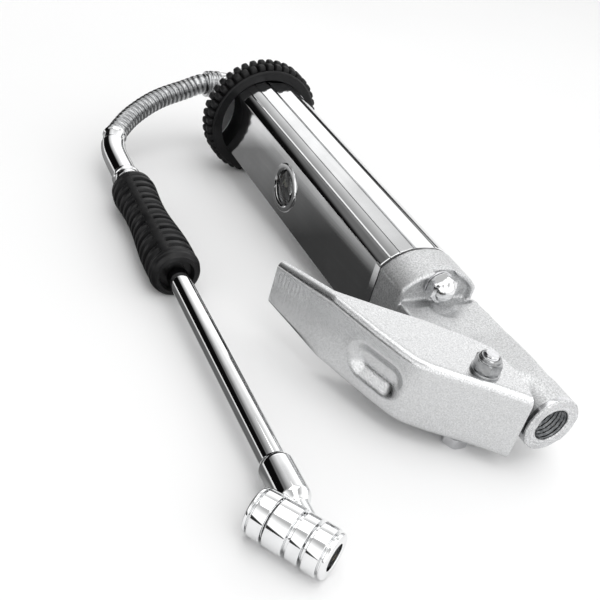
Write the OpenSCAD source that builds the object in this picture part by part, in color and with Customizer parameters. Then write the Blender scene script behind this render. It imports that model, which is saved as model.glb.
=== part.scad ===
// Tyre inflator with a gauge in the barrel, a side lever, an armoured hose and a two-way chuck.
// The tool lies at rest: its guard ring and its pivot bolt stand on the bench, with the lance beside it.
// Origin: centre of the inlet's mouth. +X runs towards the hose end, +Y to the lever, +Z up.

/* [Casting] */
// outside diameter of the inlet boss
boss_d = 20.5; // [19:0.5:22]
// wall radius of the inlet thread, halfway up a quarter-inch pipe thread
inlet_r = 6.2; // [6:0.1:6.4]
// depth of the inlet thread
inlet_len = 14; // [12:1:16]
// distance from the inlet's mouth to the barrel
barrel_x = 76; // [75:0.5:77]

/* [Barrel] */
// diameter of the barrel over its round part
barrel_d = 41.6; // [41:0.2:42.4]
// distance across the barrel's two flats
barrel_flat = 32.4; // [32:0.2:33]
// length of the barrel
barrel_len = 146; // [145:1:147]
// diameter of the lens
lens_d = 16.4; // [16:0.2:16.8]
// distance of the lens from the inlet's mouth
lens_x = 152; // [151:1:153]

/* [Guard] */
// diameter of the rubber guard over its knobs
guard_d = 54.4; // [54:0.2:54.8]

/* [Lever] */
// height of the lever's web
lever_h = 25; // [25:0.2:25.6]
// thickness of the lever's sheet
lever_t = 1.6; // [1.4:0.1:1.8]

/* [Lance] */
// diameter of the lance tube
tube_d = 8; // [7.6:0.2:8]
// diameter of the grip's fuller half
grip_d = 19.2; // [19:0.2:19.4]
// diameter of the chuck
chuck_d = 14.4; // [14.2:0.2:14.8]

/* [Hidden] */
$fn = 96;

steel = [0.74, 0.75, 0.77];
zinc = [0.66, 0.67, 0.68];
chrome = [0.85, 0.86, 0.88];
brass = [0.76, 0.62, 0.33];
rubber = [0.07, 0.07, 0.07];
glass = [0.80, 0.85, 0.88];
cream = [0.93, 0.90, 0.80];

boss_r = boss_d / 2;
boss_len = 13;
filter_r = 5;
// the barrel's axis stands to the lever's side of the inlet's axis, and a little below it
axis_y = 10;
axis_z = -2.7;
barrel_r = barrel_d / 2;
flat_half = barrel_flat / 2;
barrel_wall = 2.4;
barrel_end = barrel_x + barrel_len;
collar_x = 60;
gasket_t = 1;
rod_gap = 14.2;
rod_r = 2.5;
// the neck is flattened above and below, which leaves each domed nut in the open
neck_half = 9.2;
pocket_half = 14;
nut_x = 54.5;
pocket_end = nut_x + 8;
lens_r = lens_d / 2;
flat_y = axis_y + flat_half;

gauge_bore = 6.5;
piston_x = 85;
stop_x = barrel_end - 0.2;

// the guard ring is stretched over the barrel's end, against the end cap's flange
guard_w = 11;
guard_x = barrel_end - 10.5;
guard_r = guard_d / 2;
guard_bore = barrel_r + 0.05;
cap_r = 21.6;
cap_len = 11;
screw_x = guard_x - 5;
screw_turn = 42;
screw_depth = 3.8;

pivot_x = 15.4;
pivot_y = 22;
pivot_r = 2.5;
bush_r = 3.4;
lug_r = 5;
flange_z = lever_h / 2;
washer_t = 0.9;
head_t = 4.2;
nut_t = 5.2;
nut_af = 8;
hex_to_round = 2 / sqrt(3);
foot_z = flange_z + washer_t + head_t;

push_x = 34;
push_r = 2.2;
chamber_r = 7.6;
chamber_bore = 4.2;
chamber_y = 31;
seat_y = 12;
flange_y = 21.5;
way_y = 21;
dent_y = 42.6;
push_gap = 0.33;
// the pivot's thrust washers sit inside the lever's two flanges
lug_z = flange_z - lever_t - washer_t;

// the lie of the tool: the guard ring and the head of the pivot bolt share the bench
tilt = atan((guard_r - axis_z - foot_z) / (guard_x + guard_w / 2 - pivot_x));
bench_z = pivot_x * sin(tilt) - foot_z * cos(tilt);

// elbow behind the end cap, in the tool's own axes
elbow_x = 251;
elbow_out = 9;
elbow_r = 6;
hose_r = 4.7;

// lance: origin at the chuck's end of the tube, local +X towards the grip
lance_at = [-4, 92.5, bench_z + 7.3];
grip_at = [190, 82, bench_z + 10];
lance_run = grip_at - lance_at;
lance_yaw = atan2(lance_run[1], lance_run[0]);
lance_pitch = atan2(lance_run[2], norm([lance_run[0], lance_run[1]]));
tube_r = tube_d / 2;
grip_r = grip_d / 2;
adapter_r = 5.4;
grip_s = 114;
grip_len = 71;
sleeve_s = 185;
sleeve_len = 7;

chuck_at = [-14.5, 97.5, bench_z + chuck_d / 2];
chuck_yaw = 33;
chuck_r = chuck_d / 2;
chuck_half = 12.6;
cap_split = 6.2;
chuck_bore = 3.4;
mouth_r = 4;
mouth_len = 2.6;
seal_r = 5.2;
pin_s = 2.8;

// where the hose leaves the elbow, in the resting axes
hose_start = laid([elbow_x, axis_y + elbow_out, axis_z]);
hose_end = [221, 77.5, -2.4];

function laid(p) = [p[0] * cos(tilt) - p[2] * sin(tilt), p[1], p[0] * sin(tilt) + p[2] * cos(tilt)];

// put a piece drawn in the tool's own axes into its resting place
module lay() {
    rotate([0, -tilt, 0]) children();
}

// turn an upright piece so that it runs along X
module along_x(x, y = 0, z = 0) {
    translate([x, y, z]) rotate([0, 90, 0]) children();
}

// turn an upright piece so that it runs along Y
module along_y(x, y, z = 0) {
    translate([x, y, z]) rotate([-90, 0, 0]) children();
}

module on_lance() {
    translate(lance_at) rotate([0, -lance_pitch, lance_yaw]) children();
}

module on_chuck() {
    translate(chuck_at) rotate([0, 0, chuck_yaw]) children();
}

module hex(af, h) {
    cylinder(r = af / 2 * hex_to_round, h = h, $fn = 6);
}

module ring(outer, inner, h) {
    difference() {
        cylinder(r = outer, h = h);
        translate([0, 0, -1]) cylinder(r = inner, h = h + 2);
    }
}

// a length of the barrel's section: a round with a flat at each side
module section(x, len, r, half) {
    intersection() {
        along_x(x, axis_y, axis_z) cylinder(r = r, h = len);
        translate([x - 1, axis_y - half, axis_z - r - 1]) cube([len + 2, 2 * half, 2 * r + 2]);
    }
}

// coil spring: a row of plain rings tied by a thin rib
module coil(r, wire, len, turns) {
    step = (len - wire) / turns;
    for (k = [0 : turns]) {
        translate([0, 0, wire / 2 + k * step]) rotate_extrude($fn = 48) translate([r, 0]) circle(r = wire / 2, $fn = 16);
    }
    translate([r - wire / 4, -wire / 4, wire / 2]) cube([wire / 2, wire / 2, len - wire]);
}

module valve_body() {
    lay() color(zinc) difference() {
        union() {
            along_x(0) cylinder(r = boss_r, h = boss_len);
            intersection() {
                hull() {
                    along_x(boss_len - 3) cylinder(r = boss_r - 0.5, h = 1, $fn = 64);
                    section(collar_x - 10, 9, barrel_r - 1.6, flat_half);
                }
                translate([0, 60, 0]) rotate([90, 0, 0]) linear_extrude(120) polygon([
                    [0, -boss_r], [boss_len, -boss_r], [40, axis_z - neck_half], [collar_x + 1, axis_z - neck_half],
                    [collar_x + 1, axis_z + neck_half], [40, axis_z + neck_half], [boss_len, boss_r], [0, boss_r]]);
            }
            section(collar_x, barrel_x - collar_x - gasket_t, barrel_r, flat_half);
            translate([pivot_x, pivot_y, -lug_z]) cylinder(r = lug_r, h = 2 * lug_z);
            translate([pivot_x - lug_r, 2, -8]) cube([2 * lug_r, pivot_y - 2, 16]);
            along_y(push_x, axis_y) cylinder(r = chamber_r, h = chamber_y - axis_y);
            translate([push_x, axis_y, -5]) cube([collar_x - push_x, flat_half - 2, 10]);
        }
        // inlet thread and the air way to the valve
        along_x(-1) cylinder(r = inlet_r, h = inlet_len + 1);
        along_x(inlet_len - 1) cylinder(r = filter_r, h = 2.6);
        along_x(inlet_len - 1) cylinder(r = 4, h = push_x - inlet_len + 1);
        // valve chamber, open to the lever's side, and the deeper bore for the valve's disc
        along_y(push_x, seat_y) cylinder(r = chamber_bore, h = chamber_y);
        along_y(push_x, -1) cylinder(r = 3.4, h = seat_y + 2);
        // air ways to the barrel and to the gauge
        along_x(push_x, way_y, 0) cylinder(r = 2, h = barrel_x);
        along_x(collar_x + 4, axis_y, axis_z) cylinder(r = 1.2, h = 20);
        along_y(collar_x + 5.2, axis_y, axis_z) cylinder(r = 1.2, h = way_y - axis_y);
        // pivot
        translate([pivot_x, pivot_y, -20]) cylinder(r = bush_r, h = 40);
        // relief under the neck for the lever's lower flange
        translate([pivot_x + 2, 8.5, -40]) cube([29, 25, 40 - flange_z + lever_t + 0.5]);
        // arched pockets for the domed nuts, above and below
        for (side = [1, -1]) {
            intersection() {
                along_x(44, axis_y, axis_z) cylinder(r = barrel_r - 2, h = pocket_end - 44);
                translate([57, axis_y - pocket_half, axis_z + (side > 0 ? 7.4 : -40)]) cube([10, 2 * pocket_half, 32.6]);
            }
            along_x(nut_x - 7, axis_y, axis_z + side * rod_gap) cylinder(r1 = 4.2, r2 = 7.2, h = 6);
            along_x(nut_x - 1.1, axis_y, axis_z + side * rod_gap) cylinder(r = 7.2, h = pocket_end - nut_x + 1.1);
            along_x(nut_x + 5, axis_y, axis_z + side * rod_gap) cylinder(r = rod_r + 0.3, h = 26);
        }
    }
}

module inlet_filter() {
    lay() color(brass) along_x(inlet_len + 0.2) difference() {
        cylinder(r = filter_r, h = 1.4);
        for (a = [0 : 60 : 300]) {
            rotate([0, 0, a]) translate([3, 0, -1]) cylinder(r = 0.9, h = 4, $fn = 24);
        }
        translate([0, 0, -1]) cylinder(r = 0.9, h = 4, $fn = 24);
    }
}

module valve_seat() {
    lay() color(brass) along_y(push_x, seat_y) ring(chamber_bore, 1.9, 3);
}

module valve_disc() {
    lay() color(rubber) along_y(push_x, seat_y - 1.6) ring(3, 1.2, 1.6);
}

module valve_spring() {
    lay() color(steel) along_y(push_x, seat_y + 3) coil(3, 0.7, flange_y - seat_y - 3, 3);
}

module valve_cap() {
    lay() color(brass) along_y(push_x, chamber_y - 1) difference() {
        union() {
            translate([0, 0, 1]) hex(13, 3.4);
            cylinder(r = chamber_bore, h = 1.6);
        }
        translate([0, 0, -2]) cylinder(r = push_r + 0.05, h = 8);
    }
}

module spindle() {
    lay() color(steel) union() {
        along_y(push_x, seat_y - 2.4) cylinder(r = 1.2, h = 10);
        along_y(push_x, flange_y - 2.2) cylinder(r = push_r, h = dent_y - flange_y - push_gap);
        along_y(push_x, flange_y) cylinder(r = 3.8, h = 1);
        translate([push_x, dent_y - push_r - push_gap, 0]) sphere(r = push_r);
    }
}

module spindle_seals() {
    lay() color(rubber) along_y(push_x, chamber_y - 5.6) for (k = [0 : 1]) {
        translate([0, 0, k * 2.4]) rotate_extrude() translate([3.23, 0]) circle(r = 0.97, $fn = 24);
    }
}

// plan of the lever's sheet, its outside going from the inlet's end to the tip
lever_out = [[-0.4, 13.4], [8.3, 24.2], [15, 34.2], [20.6, 41.6], [23.6, 43.9], [29, 46.2],
    [40, 50.2], [56.6, 55.6], [82.9, 62.8]];
lever_in = [[83.4, 61.2], [57.1, 54], [40.6, 48.7], [29.7, 44.7], [24.4, 42.4], [21.8, 40.5],
    [16.4, 33.2], [9.6, 23.2], [0.9, 12.6]];
lever_flange = [[-0.4, 13.4], [8.3, 24.2], [15, 34.2], [20.6, 41.6], [23.6, 43.9], [29, 46.2],
    [40, 50.2], [56.6, 55.6], [82.9, 62.8], [83.8, 59.9], [60, 53], [53.4, 44.8], [41.5, 28.3],
    [29, 14.6], [25, 11.6], [13, 10.8], [7, 11.4]];
lever_side = [[-5, -flange_z], [56, -flange_z], [90, -flange_z + 4.8], [90, flange_z - 4.8],
    [56, flange_z], [-5, flange_z]];

module dent_pad(grow, y0, len) {
    for (s = [-4.6, 4.6]) {
        translate([s, 0, 0]) rotate([-90, 0, 0]) translate([0, 0, y0]) cylinder(r = 3.4 + grow, h = len);
    }
    translate([-4.6, y0, -3.4 - grow]) cube([9.2, len, 6.8 + 2 * grow]);
}

module lever() {
    lay() color(steel) difference() {
        union() {
            intersection() {
                translate([0, 0, -flange_z]) linear_extrude(lever_h) polygon(concat(lever_out, lever_in));
                translate([0, 100, 0]) rotate([90, 0, 0]) linear_extrude(100) polygon(lever_side);
            }
            difference() {
                intersection() {
                    translate([0, 0, -flange_z]) linear_extrude(lever_h) polygon(lever_flange);
                    translate([0, 100, 0]) rotate([90, 0, 0]) linear_extrude(100) polygon(lever_side);
                }
                translate([0, 100, 0]) rotate([90, 0, 0]) linear_extrude(120) polygon([
                    [-9, lever_t - flange_z], [56, lever_t - flange_z], [95, 7.2 - flange_z],
                    [95, flange_z - 7.2], [56, flange_z - lever_t], [-9, flange_z - lever_t]]);
            }
            translate([push_x, dent_y, 0]) rotate([0, 0, 19]) dent_pad(1.3, 0, 4.6);
        }
        translate([push_x, dent_y, 0]) rotate([0, 0, 19]) dent_pad(0, 1.3, 12);
        translate([pivot_x, pivot_y, -20]) cylinder(r = pivot_r + 0.08, h = 40);
    }
}

module pivot_bolt() {
    lay() color(steel) translate([pivot_x, pivot_y, 0]) union() {
        translate([0, 0, -foot_z + head_t - 0.01]) cylinder(r = pivot_r, h = 2 * flange_z + 2 * washer_t + nut_t + 1.2);
        translate([0, 0, -foot_z]) hex(nut_af, head_t);
    }
}

module pivot_nut() {
    lay() color(zinc) translate([pivot_x, pivot_y, flange_z + washer_t]) difference() {
        union() {
            hex(nut_af, nut_t - 1.4);
            cylinder(r = nut_af / 2 - 0.4, h = nut_t);
        }
        translate([0, 0, -1]) cylinder(r = pivot_r, h = nut_t + 2);
    }
}

module pivot_washers() {
    lay() color(steel) for (z = [-flange_z - washer_t, flange_z]) {
        translate([pivot_x, pivot_y, z]) ring(4.9, pivot_r, washer_t);
    }
    lay() color(steel) for (z = [-flange_z + lever_t, lug_z]) {
        translate([pivot_x, pivot_y, z]) ring(lug_r, pivot_r, washer_t);
    }
}

module pivot_bush() {
    lay() color(brass) translate([pivot_x, pivot_y, -lug_z]) ring(bush_r, pivot_r, 2 * lug_z);
}

// the barrel's screw runs in towards the barrel's axis
module at_screw() {
    translate([screw_x, axis_y, axis_z]) rotate([screw_turn, 0, 0]) translate([0, 0, barrel_r - screw_depth]) children();
}

module gauge_barrel() {
    lay() color(chrome) difference() {
        section(barrel_x, barrel_len, barrel_r, flat_half);
        section(barrel_x - 1, barrel_len + 2, barrel_r - barrel_wall, flat_half - barrel_wall);
        along_y(lens_x, flat_y - 5, axis_z) cylinder(r = lens_r + 1.8, h = 10);
        at_screw() cylinder(r = 1.6, h = 8);
        at_screw() translate([0, 0, 2.35]) cylinder(r = 2.65, h = 4);
        // shallow land along the top
        translate([barrel_x - 1, axis_y - 4.6, axis_z + barrel_r - 0.7]) cube([barrel_len + 2, 9, 3]);
    }
}

module front_gasket() {
    lay() color(rubber) difference() {
        section(barrel_x - gasket_t, gasket_t, barrel_r - 0.6, flat_half - 0.6);
        section(barrel_x - 3, 6, barrel_r - barrel_wall - 1.2, flat_half - barrel_wall - 1.2);
    }
}

module rear_gasket() {
    lay() color(rubber) difference() {
        section(barrel_end, gasket_t, barrel_r - 0.6, flat_half - 0.6);
        section(barrel_end - 2, 6, barrel_r - barrel_wall - 1.2, flat_half - barrel_wall - 1.2);
    }
}

module end_cap() {
    lay() color(zinc) difference() {
        union() {
            along_x(barrel_end + gasket_t, axis_y, axis_z) cylinder(r = cap_r, h = cap_len - gasket_t - 4);
            along_x(barrel_end + gasket_t + 2, axis_y, axis_z) cylinder(r = cap_r - 2.6, h = cap_len - gasket_t - 2);
        }
        along_x(barrel_end - 1, axis_y, axis_z) cylinder(r = 5, h = 40);
        along_x(barrel_end + cap_len - 9, axis_y, axis_z) cylinder(r = 6.2, h = 40);
        for (side = [1, -1]) {
            along_x(barrel_end - 1, axis_y, axis_z + side * rod_gap) cylinder(r = rod_r, h = 8);
        }
    }
}

// one row of rounded knobs, as a wavy rim
module knob_row(h, phase) {
    rotate([0, 0, phase]) linear_extrude(h) polygon([
        for (k = [0 : 319]) let (a = k * 360 / 320, r = guard_r - 1 + abs(cos(a * 20)) * 1)
            [r * cos(a), r * sin(a)]]);
}

module rubber_guard() {
    lay() color(rubber) along_x(guard_x, axis_y, axis_z) difference() {
        union() {
            cylinder(r = guard_r - 2.6, h = guard_w);
            translate([0, 0, 1.8]) knob_row(4.2, 0);
            translate([0, 0, 6.5]) knob_row(4.2, 4.5);
        }
        translate([0, 0, -1]) cylinder(r = guard_bore, h = guard_w + 2);
    }
}

module tie_rods() {
    lay() color(steel) for (side = [1, -1]) {
        along_x(nut_x + 2.5, axis_y, axis_z + side * rod_gap) cylinder(r = rod_r, h = barrel_end + 4.5 - nut_x);
    }
}

module domed_nuts() {
    lay() color(chrome) for (side = [1, -1]) {
        along_x(nut_x, axis_y, axis_z + side * rod_gap) difference() {
            union() {
                translate([0, 0, 3]) hex(10, 3.8);
                translate([0, 0, 3.2]) sphere(r = 4.6);
            }
            translate([0, 0, 2.4]) cylinder(r = rod_r, h = 8);
        }
    }
}

module rod_washers() {
    lay() color(steel) for (side = [1, -1]) {
        along_x(nut_x + 7, axis_y, axis_z + side * rod_gap) ring(5.6, rod_r + 0.1, 0.9);
    }
}

module barrel_screw() {
    lay() color(steel) at_screw() difference() {
        union() {
            cylinder(r = 1.55, h = screw_depth);
            translate([0, 0, 2.4]) cylinder(r = 2.6, h = 1.4);
        }
        translate([-3, -0.3, 3.2]) cube([6, 0.6, 2]);
    }
}

module lens_bezel() {
    lay() color(chrome) along_y(lens_x, flat_y - 2.6, axis_z) union() {
        ring(lens_r + 1.75, lens_r + 0.1, 2.6);
        translate([0, 0, 2.6]) ring(lens_r + 2.2, lens_r - 0.8, 0.7);
    }
}

module lens() {
    lay() color(glass) along_y(lens_x, flat_y - 2.4, axis_z) intersection() {
        cylinder(r = lens_r, h = 2.6);
        translate([0, 0, -27.8]) sphere(r = 30.2);
    }
}

module lens_gasket() {
    lay() color(rubber) along_y(lens_x, flat_y - 3.3, axis_z) ring(lens_r + 0.05, lens_r - 1.4, 0.9);
}

module gauge_cylinder() {
    lay() color(brass) along_x(barrel_x - gasket_t, axis_y, axis_z) difference() {
        union() {
            cylinder(r = 8.2, h = 80);
            cylinder(r = 9.2, h = 2);
        }
        translate([0, 0, 3]) cylinder(r = gauge_bore, h = 80);
        translate([0, 0, -1]) cylinder(r = 1.2, h = 6);
    }
}

module gauge_piston() {
    lay() color(brass) along_x(piston_x, axis_y, axis_z) difference() {
        union() {
            cylinder(r = gauge_bore - 0.06, h = 2);
            cylinder(r = 5, h = 6);
            translate([0, 0, 4]) cylinder(r = gauge_bore - 0.06, h = 2);
            cylinder(r = 2.8, h = 73);
            translate([0, 0, 71.4]) cylinder(r = 9.2, h = 1.6);
        }
        translate([0, 0, 8]) cylinder(r = 1.6, h = 80);
    }
}

module piston_seal() {
    lay() color(rubber) along_x(piston_x + 2, axis_y, axis_z) ring(gauge_bore - 0.02, 5, 2);
}

module gauge_spring() {
    lay() color(steel) along_x(piston_x + 73, axis_y, axis_z) coil(4.6, 1.1, stop_x - piston_x - 73, 16);
}

module scale_drum() {
    lay() color(cream) along_x(piston_x + 21, axis_y, axis_z) union() {
        ring(10.6, 9.6, 54);
        translate([0, 0, 50.4]) ring(9.7, 9.2, 1.6);
    }
}

module guide_rod() {
    lay() color(steel) union() {
        along_x(piston_x + 40, axis_y, axis_z) cylinder(r = 1.55, h = stop_x + 1 - piston_x - 40);
        along_x(stop_x, axis_y, axis_z) difference() {
            cylinder(r = 10, h = barrel_end + gasket_t - stop_x);
            for (a = [30 : 60 : 330]) {
                rotate([0, 0, a]) translate([3.4, 0, -1]) cylinder(r = 1.1, h = 4, $fn = 24);
            }
        }
    }
}

module hose_elbow() {
    lay() color(steel) difference() {
        union() {
            along_x(barrel_end + cap_len - 8, axis_y, axis_z) cylinder(r = 6.1, h = 10);
            along_x(barrel_end + cap_len, axis_y, axis_z) hex(15, 7);
            along_x(barrel_end + cap_len + 6, axis_y, axis_z) cylinder(r = elbow_r, h = elbow_x - barrel_end - cap_len - 6);
            translate([elbow_x, axis_y, axis_z]) sphere(r = elbow_r);
            along_y(elbow_x, axis_y, axis_z) cylinder(r = elbow_r, h = elbow_out - 0.6);
        }
        along_x(barrel_end + cap_len - 9, axis_y, axis_z) cylinder(r = 3, h = elbow_x - barrel_end - cap_len + 9);
        along_y(elbow_x, axis_y, axis_z) cylinder(r = 3, h = elbow_out + 1);
    }
}

module hose_ferrule() {
    lay() color(steel) along_y(elbow_x, axis_y + elbow_out - 0.6, axis_z) difference() {
        cylinder(r = 6.4, h = 7);
        translate([0, 0, -1]) cylinder(r = 3, h = 1.6);
        translate([0, 0, 0.6]) cylinder(r = hose_r + 0.1, h = 8);
    }
}

// hose: a tube swept along a curve through a few round points
hose_route = [hose_start, hose_start + [0, 8, 0], [249.4, 36, 9.6], [243.4, 52, 6], [233, 67, 1.4], hose_end];

// smooth curve through four neighbours
function curve(a, b, c, d, t) = 0.5 * (2 * b + (c - a) * t + (2 * a - 5 * b + 4 * c - d) * t * t
    + (3 * b - a - 3 * c + d) * t * t * t);
function pick(list, i) = list[max(0, min(len(list) - 1, i))];
function curve_point(route, u) = let (i = min(floor(u), len(route) - 2), t = u - i)
    curve(pick(route, i - 1), route[i], pick(route, i + 1), pick(route, i + 2), t);
function unit(v) = v / norm(v);

// points on a curve, evenly spaced in its own count
function along(route, count) = [for (k = [0 : count - 1]) curve_point(route, k * (len(route) - 1) / (count - 1))];
// direction at one point of a line; the first is given
function way_at(line, k, first) = k == 0 ? first : unit(pick(line, k + 1) - pick(line, k - 1));

// a round bar swept along a line of points
module sweep(line, r, sides, first) {
    last = len(line) - 1;
    polyhedron(
        points = [for (k = [0 : last]) let (w = way_at(line, k, first), u = unit(cross(w, [0, 0, 1])), v = cross(w, u))
            for (j = [0 : sides - 1]) let (a = j * 360 / sides) line[k] + r * (cos(a) * u + sin(a) * v)],
        faces = concat(
            [[for (j = [0 : sides - 1]) j]],
            [for (k = [0 : last - 1]) for (j = [0 : sides - 1]) let (n = (j + 1) % sides)
                [k * sides + n, k * sides + j, (k + 1) * sides + j, (k + 1) * sides + n]],
            [[for (j = [sides - 1 : -1 : 0]) last * sides + j]]),
        convexity = 4);
}

module hose() {
    color(rubber) sweep(along(hose_route, 21), hose_r, 12, [0, 1, 0]);
}

// bright bend between the hose and the lance
bend_r = 5.3;
function lance_point(d) = lance_at + unit(lance_run) * d;
bend_far = lance_point(sleeve_s + sleeve_len - 0.6);
bend_route = [hose_end, [215, 79.9, -3.9], [206, 81.6, -5.2], bend_far];

module lance_bend() {
    color(chrome) difference() {
        sweep(along(bend_route, 13), bend_r, 24, unit(hose_end - hose_route[4]));
        on_lance() along_x(sleeve_s - 4) cylinder(r = 8, h = sleeve_len + 4);
    }
}

module lance_sleeve() {
    on_lance() color(zinc) along_x(sleeve_s) ring(6, tube_r, sleeve_len);
}

module lance_tube() {
    on_lance() color(chrome) along_x(10) ring(tube_r, 2.6, sleeve_s + sleeve_len - 10);
}

module grip() {
    on_lance() color(rubber) along_x(grip_s) rotate_extrude() polygon(concat(
        [[tube_r, 3], [6.4, 3], [6.8, 0]],
        [for (k = [0 : 56]) let (s = k * grip_len / 56, swell = grip_r - 0.8 + 0.8 * cos(s * 360 / 62 - 70)
            - (s > 60 ? (s - 60) * (s - 60) * 0.03 : 0), wave = 0.35 * cos(k * 180))
            [swell + wave - (s < 2 ? 1 - s / 2 : 0), s]],
        [[tube_r, grip_len]]));
}

neck_in = 9;

module chuck_adapter() {
    color(chrome) difference() {
        on_lance() along_x(-neck_in) difference() {
            union() {
                cylinder(r = 3.6, h = neck_in + 3);
                translate([0, 0, neck_in - 2]) cylinder(r1 = 4.2, r2 = adapter_r, h = 2);
                translate([0, 0, neck_in]) cylinder(r = adapter_r, h = 14.6);
                translate([0, 0, neck_in + 14.6]) cylinder(r1 = adapter_r, r2 = tube_r + 0.4, h = 1.4);
            }
            translate([0, 0, neck_in + 10]) cylinder(r = tube_r, h = 8);
            translate([0, 0, -2]) cylinder(r = 1.8, h = 24);
        }
        on_chuck() along_x(-chuck_half) cylinder(r = chuck_bore, h = 2 * chuck_half);
        // clear of the chuck's screwed ends
        on_chuck() for (side = [0, 1]) {
            rotate([0, 0, side * 180]) along_x(-chuck_half) cylinder(r = chuck_r + 0.05, h = cap_split + 0.05);
        }
    }
}

module chuck_body() {
    color(chrome) difference() {
        on_chuck() union() {
            along_x(-chuck_half + cap_split) cylinder(r = chuck_r - 1.2, h = 2 * (chuck_half - cap_split));
            along_x(-chuck_half + cap_split + 1) cylinder(r = chuck_r - 0.2, h = 4.4);
            along_x(-chuck_half + cap_split + 5.4) cylinder(r = chuck_r, h = 2 * (chuck_half - cap_split) - 6.4);
        }
        on_chuck() for (side = [0, 1]) {
            rotate([0, 0, side * 180]) along_x(-chuck_half) cylinder(r = chuck_bore, h = chuck_half - 0.4);
        }
        on_chuck() along_x(-2) cylinder(r = 1.6, h = 4);
        on_lance() along_x(-neck_in) cylinder(r = 3.6, h = neck_in);
    }
}

module chuck_caps() {
    on_chuck() color(chrome) for (side = [0, 1]) {
        rotate([0, 0, side * 180]) along_x(-chuck_half) difference() {
            union() {
                cylinder(r = chuck_r - 0.8, h = 1.3);
                translate([0, 0, 1.3]) cylinder(r = chuck_r - 0.5, h = 0.5);
                translate([0, 0, 1.8]) cylinder(r = chuck_r, h = cap_split - 1.8);
            }
            translate([0, 0, -1]) cylinder(r = mouth_r, h = mouth_len + 1);
            translate([0, 0, mouth_len - 0.01]) cylinder(r = seal_r, h = 8);
        }
    }
}

module chuck_seals() {
    on_chuck() color(rubber) for (side = [0, 1]) {
        rotate([0, 0, side * 180]) along_x(-chuck_half + mouth_len + 0.1) ring(seal_r, 2.2, cap_split - mouth_len - 0.1);
    }
}

module chuck_pin(side) {
    on_chuck() rotate([0, 0, side * 180]) along_x(-chuck_half + pin_s) union() {
        cylinder(r = 1.1, h = 5);
        translate([0, 0, cap_split + 0.8 - pin_s]) cylinder(r = 3, h = 1);
    }
}

module chuck_pin_front() {
    color(brass) chuck_pin(0);
}

module chuck_pin_rear() {
    color(brass) chuck_pin(1);
}

module chuck_springs() {
    on_chuck() color(steel) for (side = [0, 1]) {
        rotate([0, 0, side * 180]) along_x(-chuck_half + cap_split + 1.8) coil(2.2, 0.5, chuck_half - cap_split - 2.2, 3);
    }
}

valve_body();
inlet_filter();
valve_seat();
valve_disc();
valve_spring();
valve_cap();
spindle();
spindle_seals();
lever();
pivot_bolt();
pivot_nut();
pivot_washers();
pivot_bush();
gauge_barrel();
front_gasket();
rear_gasket();
end_cap();
rubber_guard();
tie_rods();
domed_nuts();
rod_washers();
barrel_screw();
lens_bezel();
lens();
lens_gasket();
gauge_cylinder();
gauge_piston();
piston_seal();
gauge_spring();
scale_drum();
guide_rod();
hose_elbow();
hose_ferrule();
hose();
lance_bend();
lance_sleeve();
lance_tube();
grip();
chuck_adapter();
chuck_body();
chuck_caps();
chuck_seals();
chuck_pin_front();
chuck_pin_rear();
chuck_springs();
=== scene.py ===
"""Looks of the tyre inflator: casting, gauge barrel, squeeze lever, armoured hose, lance and two-way chuck.

Every shape is worked out in millimetres in the tool's, the lance's or the chuck's own axes, turned into the
resting axes and written into its mesh in metres. The sizes repeat those of the part's source.
"""

import logging
import math
from collections.abc import Callable
from dataclasses import dataclass, field
from enum import Enum

import bmesh
import bpy
import numpy as np
from mathutils import Matrix


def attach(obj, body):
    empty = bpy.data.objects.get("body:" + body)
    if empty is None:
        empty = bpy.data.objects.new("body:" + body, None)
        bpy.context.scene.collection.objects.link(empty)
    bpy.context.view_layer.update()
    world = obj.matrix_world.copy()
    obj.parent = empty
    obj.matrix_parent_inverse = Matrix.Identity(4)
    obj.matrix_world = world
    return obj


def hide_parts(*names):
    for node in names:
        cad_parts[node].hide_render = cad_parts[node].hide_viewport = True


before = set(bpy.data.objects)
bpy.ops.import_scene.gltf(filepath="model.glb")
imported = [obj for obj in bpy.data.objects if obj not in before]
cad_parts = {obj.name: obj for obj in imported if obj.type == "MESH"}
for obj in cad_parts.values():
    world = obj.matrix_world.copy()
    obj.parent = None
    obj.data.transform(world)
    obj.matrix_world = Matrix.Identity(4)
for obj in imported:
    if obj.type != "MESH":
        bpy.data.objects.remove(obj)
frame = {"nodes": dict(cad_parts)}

Array = np.ndarray
MM = 0.001
FULL = 2 * math.pi
log = logging.getLogger("inflator")


# ---------------------------------------------------------------- axes


def turned_y(angle: float) -> Array:
    """Rotation that lifts +X towards +Z by an angle in radians, as a 4x4 matrix."""
    c, s = math.cos(angle), math.sin(angle)
    return np.array([[c, 0, -s, 0], [0, 1, 0, 0], [s, 0, c, 0], [0, 0, 0, 1.0]])


def turned_z(angle: float) -> Array:
    """Rotation that carries +X towards +Y by an angle in radians, as a 4x4 matrix."""
    c, s = math.cos(angle), math.sin(angle)
    return np.array([[c, -s, 0, 0], [s, c, 0, 0], [0, 0, 1, 0], [0, 0, 0, 1.0]])


def moved(x: float, y: float, z: float) -> Array:
    """A shift, as a 4x4 matrix.

    Args:
        x: how far along X, in millimetres.
        y: how far along Y.
        z: how far along Z.

    Returns:
        The matrix.
    """
    m = np.eye(4)
    m[:3, 3] = (x, y, z)
    return m


class Axis(Enum):
    """Direction that a turned piece's own length runs along."""

    X = ((1, 0, 0), (0, 1, 0), (0, 0, 1))
    Y = ((0, 0, 1), (1, 0, 0), (0, 1, 0))
    Z = ((0, 1, 0), (0, 0, 1), (1, 0, 0))


def stood(axis: Axis, x: float, y: float, z: float) -> Array:
    """Matrix that lays a turned piece's length along an axis, starting at a point in millimetres.

    Args:
        axis: the direction of the piece's length.
        x: the start along X.
        y: the start along Y.
        z: the start along Z.

    Returns:
        A 4x4 matrix.
    """
    m = moved(x, y, z)
    m[:3, :3] = np.array(axis.value, float)
    return m


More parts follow.
